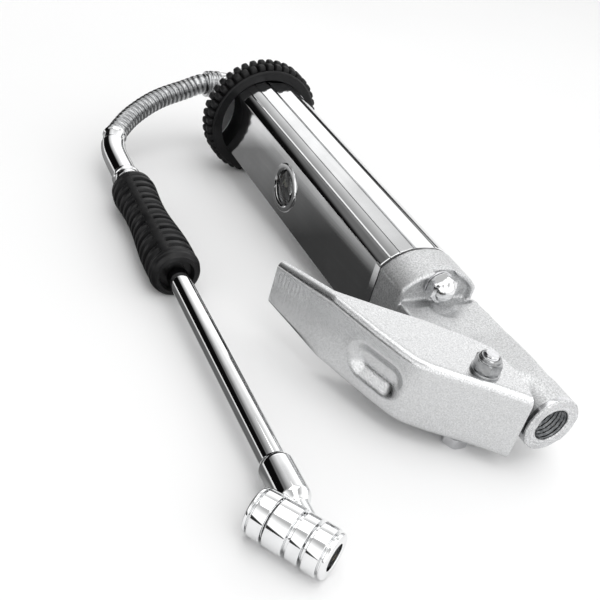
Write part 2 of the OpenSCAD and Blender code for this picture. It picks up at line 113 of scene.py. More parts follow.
@dataclass(frozen=True)
class Layout:
    """The sizes that several pieces share, in millimetres, as the part's source has them."""

    axis_y: float = 10.0
    axis_z: float = -2.7
    barrel_r: float = 20.8
    flat_half: float = 16.2
    barrel_x: float = 76.0
    barrel_end: float = 222.0
    guard_r: float = 27.2
    guard_mid: float = 217.0
    foot_z: float = -17.6
    lens_x: float = 152.0
    elbow_x: float = 251.0
    pivot: tuple[float, float] = (15.4, 22.0)
    rod_gap: float = 14.2
    lance_from: tuple[float, float, float] = (-4.0, 92.5, 7.3)
    lance_to: tuple[float, float, float] = (190.0, 82.0, 10.0)
    chuck_at: tuple[float, float, float] = (-14.5, 97.5, 7.2)
    chuck_turn: float = math.radians(33)

    @property
    def tilt(self) -> float:
        """Angle at which the guard ring and the pivot bolt's head both rest on the bench, in radians."""
        return math.atan((self.guard_r - self.axis_z + self.foot_z) / (self.guard_mid - self.pivot[0]))

    @property
    def bench(self) -> float:
        """Height of the bench under the tool."""
        return self.pivot[0] * math.sin(self.tilt) + self.foot_z * math.cos(self.tilt)

    @property
    def tool(self) -> Array:
        """From the tool's own axes to the resting axes."""
        return turned_y(self.tilt)

    @property
    def lance(self) -> Array:
        """From the lance's own axes, +X towards the grip, to the resting axes.

        Returns:
            A 4x4 matrix.
        """
        run = np.subtract(self.lance_to, self.lance_from)
        yaw = math.atan2(run[1], run[0])
        pitch = math.atan2(run[2], math.hypot(run[0], run[1]))
        x, y, z = self.lance_from
        return moved(x, y, z + self.bench) @ turned_z(yaw) @ turned_y(pitch)

    @property
    def chuck(self) -> Array:
        """From the chuck's own axes to the resting axes."""
        x, y, z = self.chuck_at
        return moved(x, y, z + self.bench) @ turned_z(self.chuck_turn)

    def barrel(self, x: float) -> Array:
        """From a piece turned on the barrel's axis, starting at x, to the resting axes."""
        return self.tool @ stood(Axis.X, x, self.axis_y, self.axis_z)


LAYOUT = Layout()


# ---------------------------------------------------------------- shapes


def smooth_step(t: Array) -> Array:
    """0 below 0, 1 above 1, and 3t^2 - 2t^3 between."""
    t = np.clip(t, 0.0, 1.0)
    return t * t * (3 - 2 * t)


def grid_faces(rows: int, cols: int, wrap_rows: bool, wrap_cols: bool) -> Array:
    """Four-sided faces of a grid of points held row by row.

    Args:
        rows: how many rows of points there are.
        cols: how many points a row has.
        wrap_rows: whether the last row joins the first.
        wrap_cols: whether the last point of a row joins its first.

    Returns:
        An array of four point numbers for each face.
    """
    r = np.arange(rows if wrap_rows else rows - 1)[:, None]
    c = np.arange(cols if wrap_cols else cols - 1)[None, :]
    r2, c2 = (r + 1) % rows, (c + 1) % cols
    return np.stack([r * cols + c, r * cols + c2, r2 * cols + c2, r2 * cols + c], -1).reshape(-1, 4)


def rounded(corners: list[tuple[float, float]], radius: float, closed: bool = True,
            steps: int = 5) -> Array:
    """A profile with its corners taken off by short parabolas.

    Each corner P between neighbours A and B becomes (1-t)^2 S + 2t(1-t) P + t^2 E, where S and E lie on the
    two sides at the radius from P, or at 45 hundredths of a side that is too short for it.

    Args:
        corners: points (length along the piece, radius from its axis).
        radius: how far from a corner the rounding starts.
        closed: whether the profile joins up with its own start.
        steps: points on each rounding.

    Returns:
        The rounded profile's points.
    """
    p = np.array(corners, float)
    before, after = np.roll(p, 1, 0), np.roll(p, -1, 0)
    gap_b = np.linalg.norm(before - p, axis=1, keepdims=True)
    gap_a = np.linalg.norm(after - p, axis=1, keepdims=True)
    s = p + (before - p) / gap_b * np.minimum(radius, 0.45 * gap_b)
    e = p + (after - p) / gap_a * np.minimum(radius, 0.45 * gap_a)
    if not closed:
        s[0] = e[0] = p[0]
        s[-1] = e[-1] = p[-1]
    t = np.linspace(0, 1, steps)[None, :, None]
    arc = (1 - t) ** 2 * s[:, None] + 2 * t * (1 - t) * p[:, None] + t**2 * e[:, None]
    return arc.reshape(-1, 2)


def spun(profile: Array, sides: int, shape: Callable[[Array, Array, Array], Array] | None = None) -> Array:
    """Points of a turned piece: (length, radius cos angle, radius sin angle), the radius shaped at will.

    Args:
        profile: points (length, radius).
        sides: how many points go round.
        shape: gives the radius from the lengths, the angles and the profile's radii, or None.

    Returns:
        Points as rows x sides x 3.
    """
    angle = np.arange(sides)[None, :] * FULL / sides
    length = np.broadcast_to(profile[:, :1], (len(profile), sides))
    radius = np.broadcast_to(profile[:, 1:], (len(profile), sides))
    if shape is not None:
        radius = shape(length, np.broadcast_to(angle, length.shape), radius)
    return np.stack([length, radius * np.cos(angle), radius * np.sin(angle)], -1)


def curve_through(points: Array, count: int) -> Array:
    """Points on the smooth curve through a few points, evenly spaced in its own count (Catmull and Rom's).

    Args:
        points: the points that the curve passes.
        count: how many points to give.

    Returns:
        The curve's points.
    """
    u = np.linspace(0, len(points) - 1, count)
    i = np.minimum(u.astype(int), len(points) - 2)
    t = (u - i)[:, None]
    a, b, c, d = (points[np.clip(i + k, 0, len(points) - 1)] for k in (-1, 0, 1, 2))
    return 0.5 * (2 * b + (c - a) * t + (2 * a - 5 * b + 4 * c - d) * t**2 + (3 * b - a - 3 * c + d) * t**3)


def swept(path: Array, radius: Array, sides: int, first: Array | None = None) -> Array:
    """Points of a round bar carried along a path, closed by a pole at each end.

    Args:
        path: the centreline's points.
        radius: the radius at each point, or at each point and side.
        sides: how many points go round.
        first: the direction at the start, or None for the path's own.

    Returns:
        Points as rows x sides x 3.
    """
    way = np.gradient(path, axis=0)
    if first is not None:
        way[0] = first
    way /= np.linalg.norm(way, axis=1, keepdims=True)
    across = np.cross(way, [0, 0, 1.0])
    across /= np.linalg.norm(across, axis=1, keepdims=True)
    over = np.cross(way, across)
    angle = np.arange(sides)[None, :, None] * FULL / sides
    radius = radius if radius.ndim == 2 else np.repeat(radius[:, None], sides, 1)
    ring = path[:, None] + radius[:, :, None] * (np.cos(angle) * across[:, None] + np.sin(angle)
                                                 * over[:, None])
    poles = [np.repeat(path[k][None, None], sides, 1) for k in (0, -1)]
    return np.concatenate([poles[0], ring, poles[1]])


def hexagon(across: float, angle: Array) -> Array:
    """Distance from a hexagon's centre to its outline.

    It is half the width across flats over the cosine of the angle from the nearest side's middle.

    Args:
        across: the width across flats.
        angle: the direction from the centre, in radians.

    Returns:
        The distance.
    """
    return across / 2 / np.cos((angle + math.pi / 6) % (math.pi / 3) - math.pi / 6)


def length_of(path: Array) -> Array:
    """Distance along a path at each of its points."""
    return np.concatenate([[0], np.cumsum(np.linalg.norm(np.diff(path, axis=0), axis=1))])


# ---------------------------------------------------------------- meshes


def applied(points: Array, place: Array) -> Array:
    """Points in millimetres carried by a 4x4 matrix into metres."""
    flat = points.reshape(-1, 3)
    return (flat @ place[:3, :3].T + place[:3, 3]) * MM


def new_object(name: str, mesh: bpy.types.Mesh) -> bpy.types.Object:
    """An object at the origin that holds a mesh.

    Args:
        name: the object's name.
        mesh: its mesh.

    Returns:
        The new object.
    """
    obj = bpy.data.objects.new(name, mesh)
    bpy.context.scene.collection.objects.link(obj)
    return obj


def tidied(mesh: bpy.types.Mesh, merge: float = 2e-6, turn: bool = True) -> None:
    """Merge doubled points, drop empty faces and point the faces outwards.

    Args:
        mesh: the mesh to mend.
        merge: the distance under which points are one, in metres.
        turn: whether the faces' directions are worked out again.
    """
    work = bmesh.new()
    work.from_mesh(mesh)
    bmesh.ops.remove_doubles(work, verts=work.verts, dist=merge)
    bmesh.ops.dissolve_degenerate(work, edges=work.edges, dist=merge / 2)
    if turn:
        bmesh.ops.recalc_face_normals(work, faces=work.faces)
    work.to_mesh(mesh)
    work.free()


def crisp(obj: bpy.types.Object, angle: float = 32) -> bpy.types.Object:
    """Shade smoothly, with an edge kept where faces meet at more than an angle in degrees.

    Args:
        obj: the piece.
        angle: the angle past which an edge is kept, in degrees.

    Returns:
        The piece.
    """
    obj.data.polygons.foreach_set("use_smooth", np.ones(len(obj.data.polygons), bool))
    obj.data.set_sharp_from_angle(angle=math.radians(angle))
    return obj


def solid(name: str, points: Array, place: Array, wrap_rows: bool = False,
          angle: float = 32) -> bpy.types.Object:
    """A closed piece from a grid of points that joins up round its columns.

    Args:
        name: the piece's name.
        points: rows x columns x 3, in millimetres.
        place: 4x4 matrix into the resting axes.
        wrap_rows: whether the last row joins the first; if not, the end rows shrink to poles.
        angle: the angle past which an edge stays crisp.

    Returns:
        The new object.
    """
    mesh = bpy.data.meshes.new(name)
    faces = grid_faces(points.shape[0], points.shape[1], wrap_rows, True)
    mesh.from_pydata(applied(points, place).tolist(), [], faces.tolist())
    tidied(mesh)
    return crisp(new_object(name, mesh), angle)


def drop(obj: bpy.types.Object) -> None:
    """Remove a helper object and its mesh.

    Args:
        obj: the helper object.
    """
    mesh = obj.data
    bpy.data.objects.remove(obj)
    bpy.data.meshes.remove(mesh)


def settle(obj: bpy.types.Object) -> bpy.types.Object:
    """Turn an object's modifiers into its mesh.

    Args:
        obj: the object.

    Returns:
        The object.
    """
    bpy.context.view_layer.update()
    graph = bpy.context.evaluated_depsgraph_get()
    mesh = bpy.data.meshes.new_from_object(obj.evaluated_get(graph))
    old = obj.data
    obj.modifiers.clear()
    obj.data = mesh
    bpy.data.meshes.remove(old)
    return obj


def carved(obj: bpy.types.Object, *cutters: bpy.types.Object) -> bpy.types.Object:
    """Cut other closed pieces out of a piece, and drop them.

    Args:
        obj: the piece to cut.
        *cutters: the closed pieces to cut out of it.

    Returns:
        The piece.
    """
    for cutter in cutters:
        cut = obj.modifiers.new("cut", "BOOLEAN")
        cut.operation = "DIFFERENCE"
        cut.solver = "EXACT"
        cut.object = cutter
        settle(obj)
        drop(cutter)
    return obj


def joined(name: str, parts: list[bpy.types.Object]) -> bpy.types.Object:
    """One object out of several separate solids.

    Args:
        name: the new piece's name.
        parts: the solids; they are used up.

    Returns:
        The new object.
    """
    work = bmesh.new()
    for part in parts:
        work.from_mesh(part.data)
    mesh = bpy.data.meshes.new(name)
    work.to_mesh(mesh)
    work.free()
    for part in parts:
        drop(part)
    return crisp(new_object(name, mesh))


def turned(name: str, corners: list[tuple[float, float]], place: Array, soft: float = 0.3, sides: int = 96,
           closed: bool = True) -> bpy.types.Object:
    """A turned piece with softened corners.

    Args:
        name: the piece's name.
        corners: its profile's corners (length, radius).
        place: 4x4 matrix into the resting axes.
        soft: how far from a corner its rounding starts.
        sides: how many points go round.
        closed: whether the profile is a ring's; if not, it starts and ends on the axis.

    Returns:
        The new object.
    """
    return solid(name, spun(rounded(corners, soft, closed), sides), place, closed)


# ---------------------------------------------------------------- finishes


class Nodes:
    """Adds shader nodes to a tree and joins them."""

    def __init__(self, tree: bpy.types.NodeTree) -> None:
        """Take the tree to fill."""
        self.tree = tree

    def add(self, kind: str, **inputs: object) -> bpy.types.Node:
        """Add a node and set or join its inputs.

        Args:
            kind: the node's type name.
            **inputs: for each input, by its name with underscores for spaces, a value or an output to join.

        Returns:
            The new node.
        """
        node = self.tree.nodes.new(kind)
        for name, value in inputs.items():
            self.put(node, name.replace("_", " "), value)
        return node

    def put(self, node: bpy.types.Node, name: str, value: object) -> None:
        """Set one input of a node, or join an output to it.

        Args:
            node: the node.
            name: the input's name, or the letter i and its number.
            value: a value or an output.
        """
        socket = node.inputs[int(name[1:])] if name[0] == "i" and name[1:].isdigit() else node.inputs[name]
        if isinstance(value, bpy.types.NodeSocket):
            self.tree.links.new(value, socket)
        else:
            socket.default_value = value

    def math(self, operation: str, a: object, b: object = 0.5) -> bpy.types.NodeSocket:
        """Work out a sum, product or the like of two values or outputs.

        Args:
            operation: what the Math node does.
            a: its first value or output.
            b: its second value or output.

        Returns:
            The node's output.
        """
        node = self.add("ShaderNodeMath", i0=a, i1=b)
        node.operation = operation
        return node.outputs[0]

    def mix(self, share: object, a: object, b: object) -> bpy.types.NodeSocket:
        """Mix two colours.

        Args:
            share: how much of the second colour there is.
            a: the first colour.
            b: the second colour.

        Returns:
            The mixed colour.
        """
        node = self.tree.nodes.new("ShaderNodeMix")
        node.data_type = "RGBA"
        self.put(node, "i0", share)
        self.put(node, "i6", a)
        self.put(node, "i7", b)
        return node.outputs[2]

    def ramp(self, value: object, low: float, high: float, a: float = 0.0,
             b: float = 1.0) -> bpy.types.NodeSocket:
        """A value carried from one range to another, held at its ends."""
        node = self.add("ShaderNodeMapRange", Value=value, From_Min=low, From_Max=high, To_Min=a, To_Max=b)
        return node.outputs[0]

    def noise(self, vector: object, scale: object, detail: float = 3.0) -> bpy.types.NodeSocket:
        """The value of a Noise node."""
        return self.add("ShaderNodeTexNoise", Vector=vector, Scale=scale, Detail=detail).outputs[0]


def new_group(name: str, takes: dict[str, object],
              gives: dict[str, str]) -> tuple[bpy.types.NodeTree, Nodes]:
    """An empty shader group with named inputs and outputs.

    Args:
        name: the group's name.
        takes: each input's name and its first value, a number or a colour.
        gives: each output's name and its socket type.

    Returns:
        The group's tree and a helper on it.
    """
    tree = bpy.data.node_groups.new(name, "ShaderNodeTree")
    for label, value in takes.items():
        kind = "NodeSocketFloat" if isinstance(value, (int, float)) else "NodeSocketColor"
        tree.interface.new_socket(label, in_out="INPUT", socket_type=kind).default_value = value
    for label, kind in gives.items():
        tree.interface.new_socket(label, in_out="OUTPUT", socket_type=kind)
    return tree, Nodes(tree)


class Effects:
    """The shared surface effects, each a group built once."""

    def __init__(self) -> None:
        """Build the groups."""
        self.grain = self._grain()
        self.lines = self._lines()
        self.handling = self._handling()
        self.dust = self._dust()

    def _grain(self) -> bpy.types.NodeTree:
        """Sandy skin of a casting or moulding: fine noise over soft cells.

        Returns:
            The group.
        """
        tree, n = new_group("skin grain", {"Scale": 2000.0, "Cells": 0.4},
                            {"Height": "NodeSocketFloat", "Speck": "NodeSocketFloat"})
        come, go = n.add("NodeGroupInput"), n.add("NodeGroupOutput")
        where = n.add("ShaderNodeTexCoord").outputs["Object"]
        fine = n.noise(where, come.outputs["Scale"], 4.0)
        cells = n.add("ShaderNodeTexVoronoi", Vector=where,
                      Scale=n.math("MULTIPLY", come.outputs["Scale"], 0.55)).outputs["Distance"]
        n.put(go, "Height", n.math("ADD", fine, n.math("MULTIPLY", cells, come.outputs["Cells"])))
        n.put(go, "Speck",
              n.ramp(n.noise(where, n.math("MULTIPLY", come.outputs["Scale"], 0.8), 2.0), 0.36, 0.64))
        return tree

    def _lines(self) -> bpy.types.NodeTree:
        """Long fine polishing lines along the tool.

        Returns:
            The group.
        """
        tree, n = new_group("polishing lines", {"Scale": 900.0},
                            {"Height": "NodeSocketFloat", "Streak": "NodeSocketFloat"})
        come, go = n.add("NodeGroupInput"), n.add("NodeGroupOutput")
        where = n.add("ShaderNodeTexCoord").outputs["Object"]
        lie = n.add("ShaderNodeMapping", Vector=where, Rotation=(0, LAYOUT.tilt, 0),
                    Scale=(0.012, 1, 1)).outputs[0]
        n.put(go, "Height", n.noise(lie, come.outputs["Scale"], 4.0))
        n.put(go, "Streak",
              n.ramp(n.noise(lie, n.math("MULTIPLY", come.outputs["Scale"], 0.35), 3.0), 0.35, 0.65))
        return tree

    def _handling(self) -> bpy.types.NodeTree:
        """Clouds of slight dulling where hands have been.

        Returns:
            The group.
        """
        tree, n = new_group(
            "handling",
            {"Clean": (0.8, 0.8, 0.8, 1), "Dulled": (0.6, 0.6, 0.6, 1), "Scale": 60.0, "Smooth": 0.1,
             "Rough": 0.2},
            {"Color": "NodeSocketColor", "Roughness": "NodeSocketFloat", "Mask": "NodeSocketFloat"},
        )
        come, go = n.add("NodeGroupInput"), n.add("NodeGroupOutput")
        where = n.add("ShaderNodeTexCoord").outputs["Object"]
        cloud = n.ramp(n.noise(where, come.outputs["Scale"], 5.0), 0.38, 0.68)
        n.put(go, "Mask", cloud)
        n.put(go, "Color", n.mix(cloud, come.outputs["Clean"], come.outputs["Dulled"]))
        spread = n.math("SUBTRACT", come.outputs["Rough"], come.outputs["Smooth"])
        n.put(go, "Roughness", n.math("ADD", come.outputs["Smooth"], n.math("MULTIPLY", spread, cloud)))
        return tree

    def _dust(self) -> bpy.types.NodeTree:
        """Pale dust on faces that look up, broken by noise.

        Returns:
            The group.
        """
        tree, n = new_group("dust", {"Color": (0.5, 0.5, 0.5, 1), "Amount": 0.1},
                            {"Color": "NodeSocketColor", "Mask": "NodeSocketFloat"})
        come, go = n.add("NodeGroupInput"), n.add("NodeGroupOutput")
        where = n.add("ShaderNodeTexCoord").outputs["Object"]
        up = n.add("ShaderNodeSeparateXYZ",
                   Vector=n.add("ShaderNodeNewGeometry").outputs["Normal"]).outputs["Z"]
        mask = n.math("MULTIPLY", n.ramp(up, 0.1, 1.0), n.ramp(n.noise(where, 420.0, 4.0), 0.45, 0.7))
        mask = n.math("MULTIPLY", mask, come.outputs["Amount"])
        n.put(go, "Mask", mask)
        n.put(go, "Color", n.mix(mask, come.outputs["Color"], (0.62, 0.6, 0.57, 1)))
        return tree


class Texture(Enum):
    """What gives a finish its relief."""

    GRAIN = "grain"
    LINES = "lines"


@dataclass(frozen=True)
class Finish:
    """A surface: its colours, its gloss, its relief and its dust."""

    name: str
    slot: str
    clean: tuple[float, float, float]
    dulled: tuple[float, float, float]
    metallic: float = 1.0
    smooth: float = 0.1
    rough: float = 0.2
    cloud: float = 60.0
    texture: Texture = Texture.GRAIN
    scale: float = 2000.0
    relief: float = 0.1
    depth: float = 0.00005
    speck: float = 0.0
    dust: float = 0.05
    coat: float = 0.0
    clear: float = 0.0
    gloss: float = 0.5

    def material(self, effects: Effects) -> bpy.types.Material:
        """Build the material from the shared effects.

        Args:
            effects: the shared groups.

        Returns:
            The new material.
        """
        mat = bpy.data.materials.new(self.name)
        mat.use_nodes = True
        tree = mat.node_tree
        tree.nodes.clear()
        n = Nodes(tree)
        hand = self._group(n, effects.handling)
        values = {"Clean": (*self.clean, 1), "Dulled": (*self.dulled, 1), "Scale": self.cloud,
                  "Smooth": self.smooth, "Rough": self.rough}
        for label, value in values.items():
            hand.inputs[label].default_value = value
        relief = self._group(n, effects.grain if self.texture is Texture.GRAIN else effects.lines)
        relief.inputs["Scale"].default_value = self.scale
        fleck = relief.outputs["Speck" if self.texture is Texture.GRAIN else "Streak"]
        colour = n.mix(n.math("MULTIPLY", fleck, self.speck), hand.outputs["Color"], (*self.dulled, 1))
        dusty = self._group(n, effects.dust)
        dusty.inputs["Amount"].default_value = self.dust
        tree.links.new(colour, dusty.inputs["Color"])
        shader = n.add("ShaderNodeBsdfPrincipled", Base_Color=dusty.outputs["Color"],
                       Metallic=self.metallic)
        n.put(shader, "Roughness",
              n.math("ADD", hand.outputs["Roughness"], n.math("MULTIPLY", dusty.outputs["Mask"], 0.4)))
        n.put(shader, "Normal",
              n.add("ShaderNodeBump", Height=relief.outputs["Height"], Strength=self.relief,
                    Distance=self.depth).outputs[0])
        shader.inputs["Coat Weight"].default_value = self.coat
        shader.inputs["Transmission Weight"].default_value = self.clear
        shader.inputs["IOR"].default_value = 1.49
        shader.inputs["Specular IOR Level"].default_value = self.gloss
        n.add("ShaderNodeOutputMaterial", Surface=shader.outputs[0])
        return mat

    def _group(self, n: Nodes, tree: bpy.types.NodeTree) -> bpy.types.Node:
        """Place a shared effect in this material.

        Args:
            n: the helper on the material's tree.
            tree: the effect's group.

        Returns:
            The new node.
        """
        node = n.add("ShaderNodeGroup")
        node.node_tree = tree
        return node


CAST = Finish("cast zinc", "zinc", (0.86, 0.865, 0.87), (0.42, 0.425, 0.43), 0.88, 0.32, 0.4, 1900.0,
              scale=4600.0, relief=0.8, depth=0.00012, speck=0.6, dust=0.02)
CAP_CAST = Finish("cap zinc", "zinc", (0.8, 0.805, 0.81), (0.6, 0.605, 0.61), 0.55, 0.36, 0.48, 90.0,
                  scale=1700.0, relief=0.5, depth=0.0001, speck=0.3)
SHEET = Finish("plated sheet", "zinc_sheet", (0.76, 0.765, 0.77), (0.52, 0.525, 0.53), 1.0, 0.18, 0.26,
               2300.0, scale=5200.0, relief=0.6, depth=0.00006, speck=0.5, dust=0.02)
CHROME = Finish("chrome", "chrome", (0.86, 0.865, 0.87), (0.78, 0.785, 0.79), 1.0, 0.03, 0.07, 160.0,
                scale=500.0, relief=0.05, depth=0.00003, speck=0.1, dust=0.02)
PLATE = Finish("plated cap", "chrome", (0.84, 0.845, 0.85), (0.72, 0.725, 0.73), 1.0, 0.05, 0.11, 220.0,
               scale=700.0, relief=0.06, depth=0.00003, speck=0.1, dust=0.02)
ALLOY = Finish("polished alloy", "polished_alloy", (0.82, 0.825, 0.83), (0.68, 0.685, 0.69), 1.0, 0.05, 0.1,
               45.0, Texture.LINES, 1400.0, 0.12, 0.00002, 0.3, 0.03)
STEEL = Finish("bright steel", "steel", (0.70, 0.705, 0.72), (0.5, 0.5, 0.51), 1.0, 0.18, 0.3, 200.0,
               scale=1500.0, relief=0.15, depth=0.00004, speck=0.2)
PLATED_NUT = Finish("plated nut", "steel", (0.45, 0.455, 0.46), (0.2, 0.205, 0.21), 1.0, 0.1, 0.2, 240.0,
                    scale=1800.0, relief=0.15, depth=0.00004, speck=0.2)
# Steel thread painted near black: painted shade of the inlet's bore, much darker than bright steel.
THREAD_PAINTED_SHADE = Finish("thread in painted bore shade", "steel", (0.2, 0.205, 0.21), (0.08, 0.085, 0.09), 1.0, 0.22, 0.34, 500.0,
                scale=2500.0, relief=0.3, depth=0.00005, speck=0.4)
SPRING = Finish("spring wire", "steel", (0.6, 0.6, 0.62), (0.4, 0.4, 0.42), 1.0, 0.2, 0.32, 300.0,
                scale=2500.0, relief=0.12, depth=0.00003, speck=0.25)
BRASS = Finish("brass", "brass", (0.72, 0.53, 0.24), (0.5, 0.36, 0.17), 1.0, 0.16, 0.3, 150.0, scale=1500.0,
               relief=0.15, depth=0.00004, speck=0.25)
RUBBER = Finish("black rubber", "rubber", (0.005, 0.005, 0.0055), (0.012, 0.012, 0.0125), 0.0, 0.42, 0.58,
                120.0, scale=2400.0, relief=0.3, depth=0.00008, speck=0.3, dust=0.012, gloss=0.22)
GRIP_RUBBER = Finish("grip rubber", "rubber", (0.004, 0.004, 0.0045), (0.008, 0.008, 0.0085), 0.0, 0.34,
                     0.48, 140.0, scale=1900.0, relief=0.2, depth=0.00006, speck=0.2, dust=0.012, gloss=0.3)
SEAL = Finish("seal rubber", "rubber", (0.018, 0.018, 0.02), (0.035, 0.035, 0.036), 0.0, 0.35, 0.5, 260.0,
              scale=2600.0, relief=0.2, depth=0.00004, speck=0.2, dust=0.02)
ARMOUR = Finish("hose armour", "armour", (0.5, 0.505, 0.51), (0.3, 0.305, 0.31), 1.0, 0.12, 0.24, 260.0,
                scale=1500.0, relief=0.15, depth=0.00004, speck=0.25, dust=0.04)
LENS = Finish("clear lens", "lens", (0.97, 0.98, 0.98), (0.93, 0.95, 0.95), 0.0, 0.01, 0.04, 300.0,
              scale=400.0, relief=0.02, depth=0.00002, speck=0.0, dust=0.02, clear=1.0)
SCALE = Finish("scale card", "scale", (0.86, 0.83, 0.74), (0.78, 0.74, 0.63), 0.0, 0.4, 0.55, 180.0,
               scale=3000.0, relief=0.1, depth=0.00002, speck=0.2, dust=0.02)
INK = Finish("scale ink", "scale", (0.02, 0.02, 0.025), (0.05, 0.05, 0.06), 0.0, 0.4, 0.55, 300.0,
             scale=3000.0, relief=0.1, depth=0.00001, speck=0.2, dust=0.0)
RED_INK = Finish("scale red", "scale", (0.6, 0.03, 0.03), (0.45, 0.05, 0.04), 0.0, 0.4, 0.5, 300.0,
                 scale=3000.0, relief=0.1, depth=0.00001, speck=0.2, dust=0.0)


class Workshop:
    """Dresses pieces, puts them on their bodies and reports them."""

    def __init__(self) -> None:
        """Build the shared effects and keep the frame's nodes."""
        self.effects = Effects()
        self.made: dict[str, bpy.types.Material] = {}
        self.nodes = frame["nodes"]

    def material(self, finish: Finish) -> bpy.types.Material:
        """The material of a finish, built at its first use.

        Args:
            finish: the finish.

        Returns:
            Its material.
        """
        if finish.name not in self.made:
            self.made[finish.name] = finish.material(self.effects)
        return self.made[finish.name]

    def add(self, obj: bpy.types.Object, finish: Finish, body: str, *replaced: str) -> bpy.types.Object:
        """Dress a new piece and put it on its body.

        Args:
            obj: the piece, its place in its mesh.
            finish: its finish.
            body: the body it rides on.
            *replaced: the frame's nodes that it stands for.

        Returns:
            The piece.
        """
        obj.data.materials.clear()
        obj.data.materials.append(self.material(finish))
        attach(obj, body)
        if replaced:
            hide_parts(*replaced)
        log.info("%s: %d faces on %s", obj.name, len(obj.data.polygons), body)
        return obj

    def dress(self, finish: Finish, *names: str) -> None:
        """Give frame nodes a finish.

        Args:
            finish: the finish.
            *names: the frame's nodes.
        """
        for name in names:
            mesh = self.nodes[name].data
            mesh.materials.clear()
            mesh.materials.append(self.material(finish))
            log.info("%s: frame node in %s", name, finish.name)


# ---------------------------------------------------------------- studio


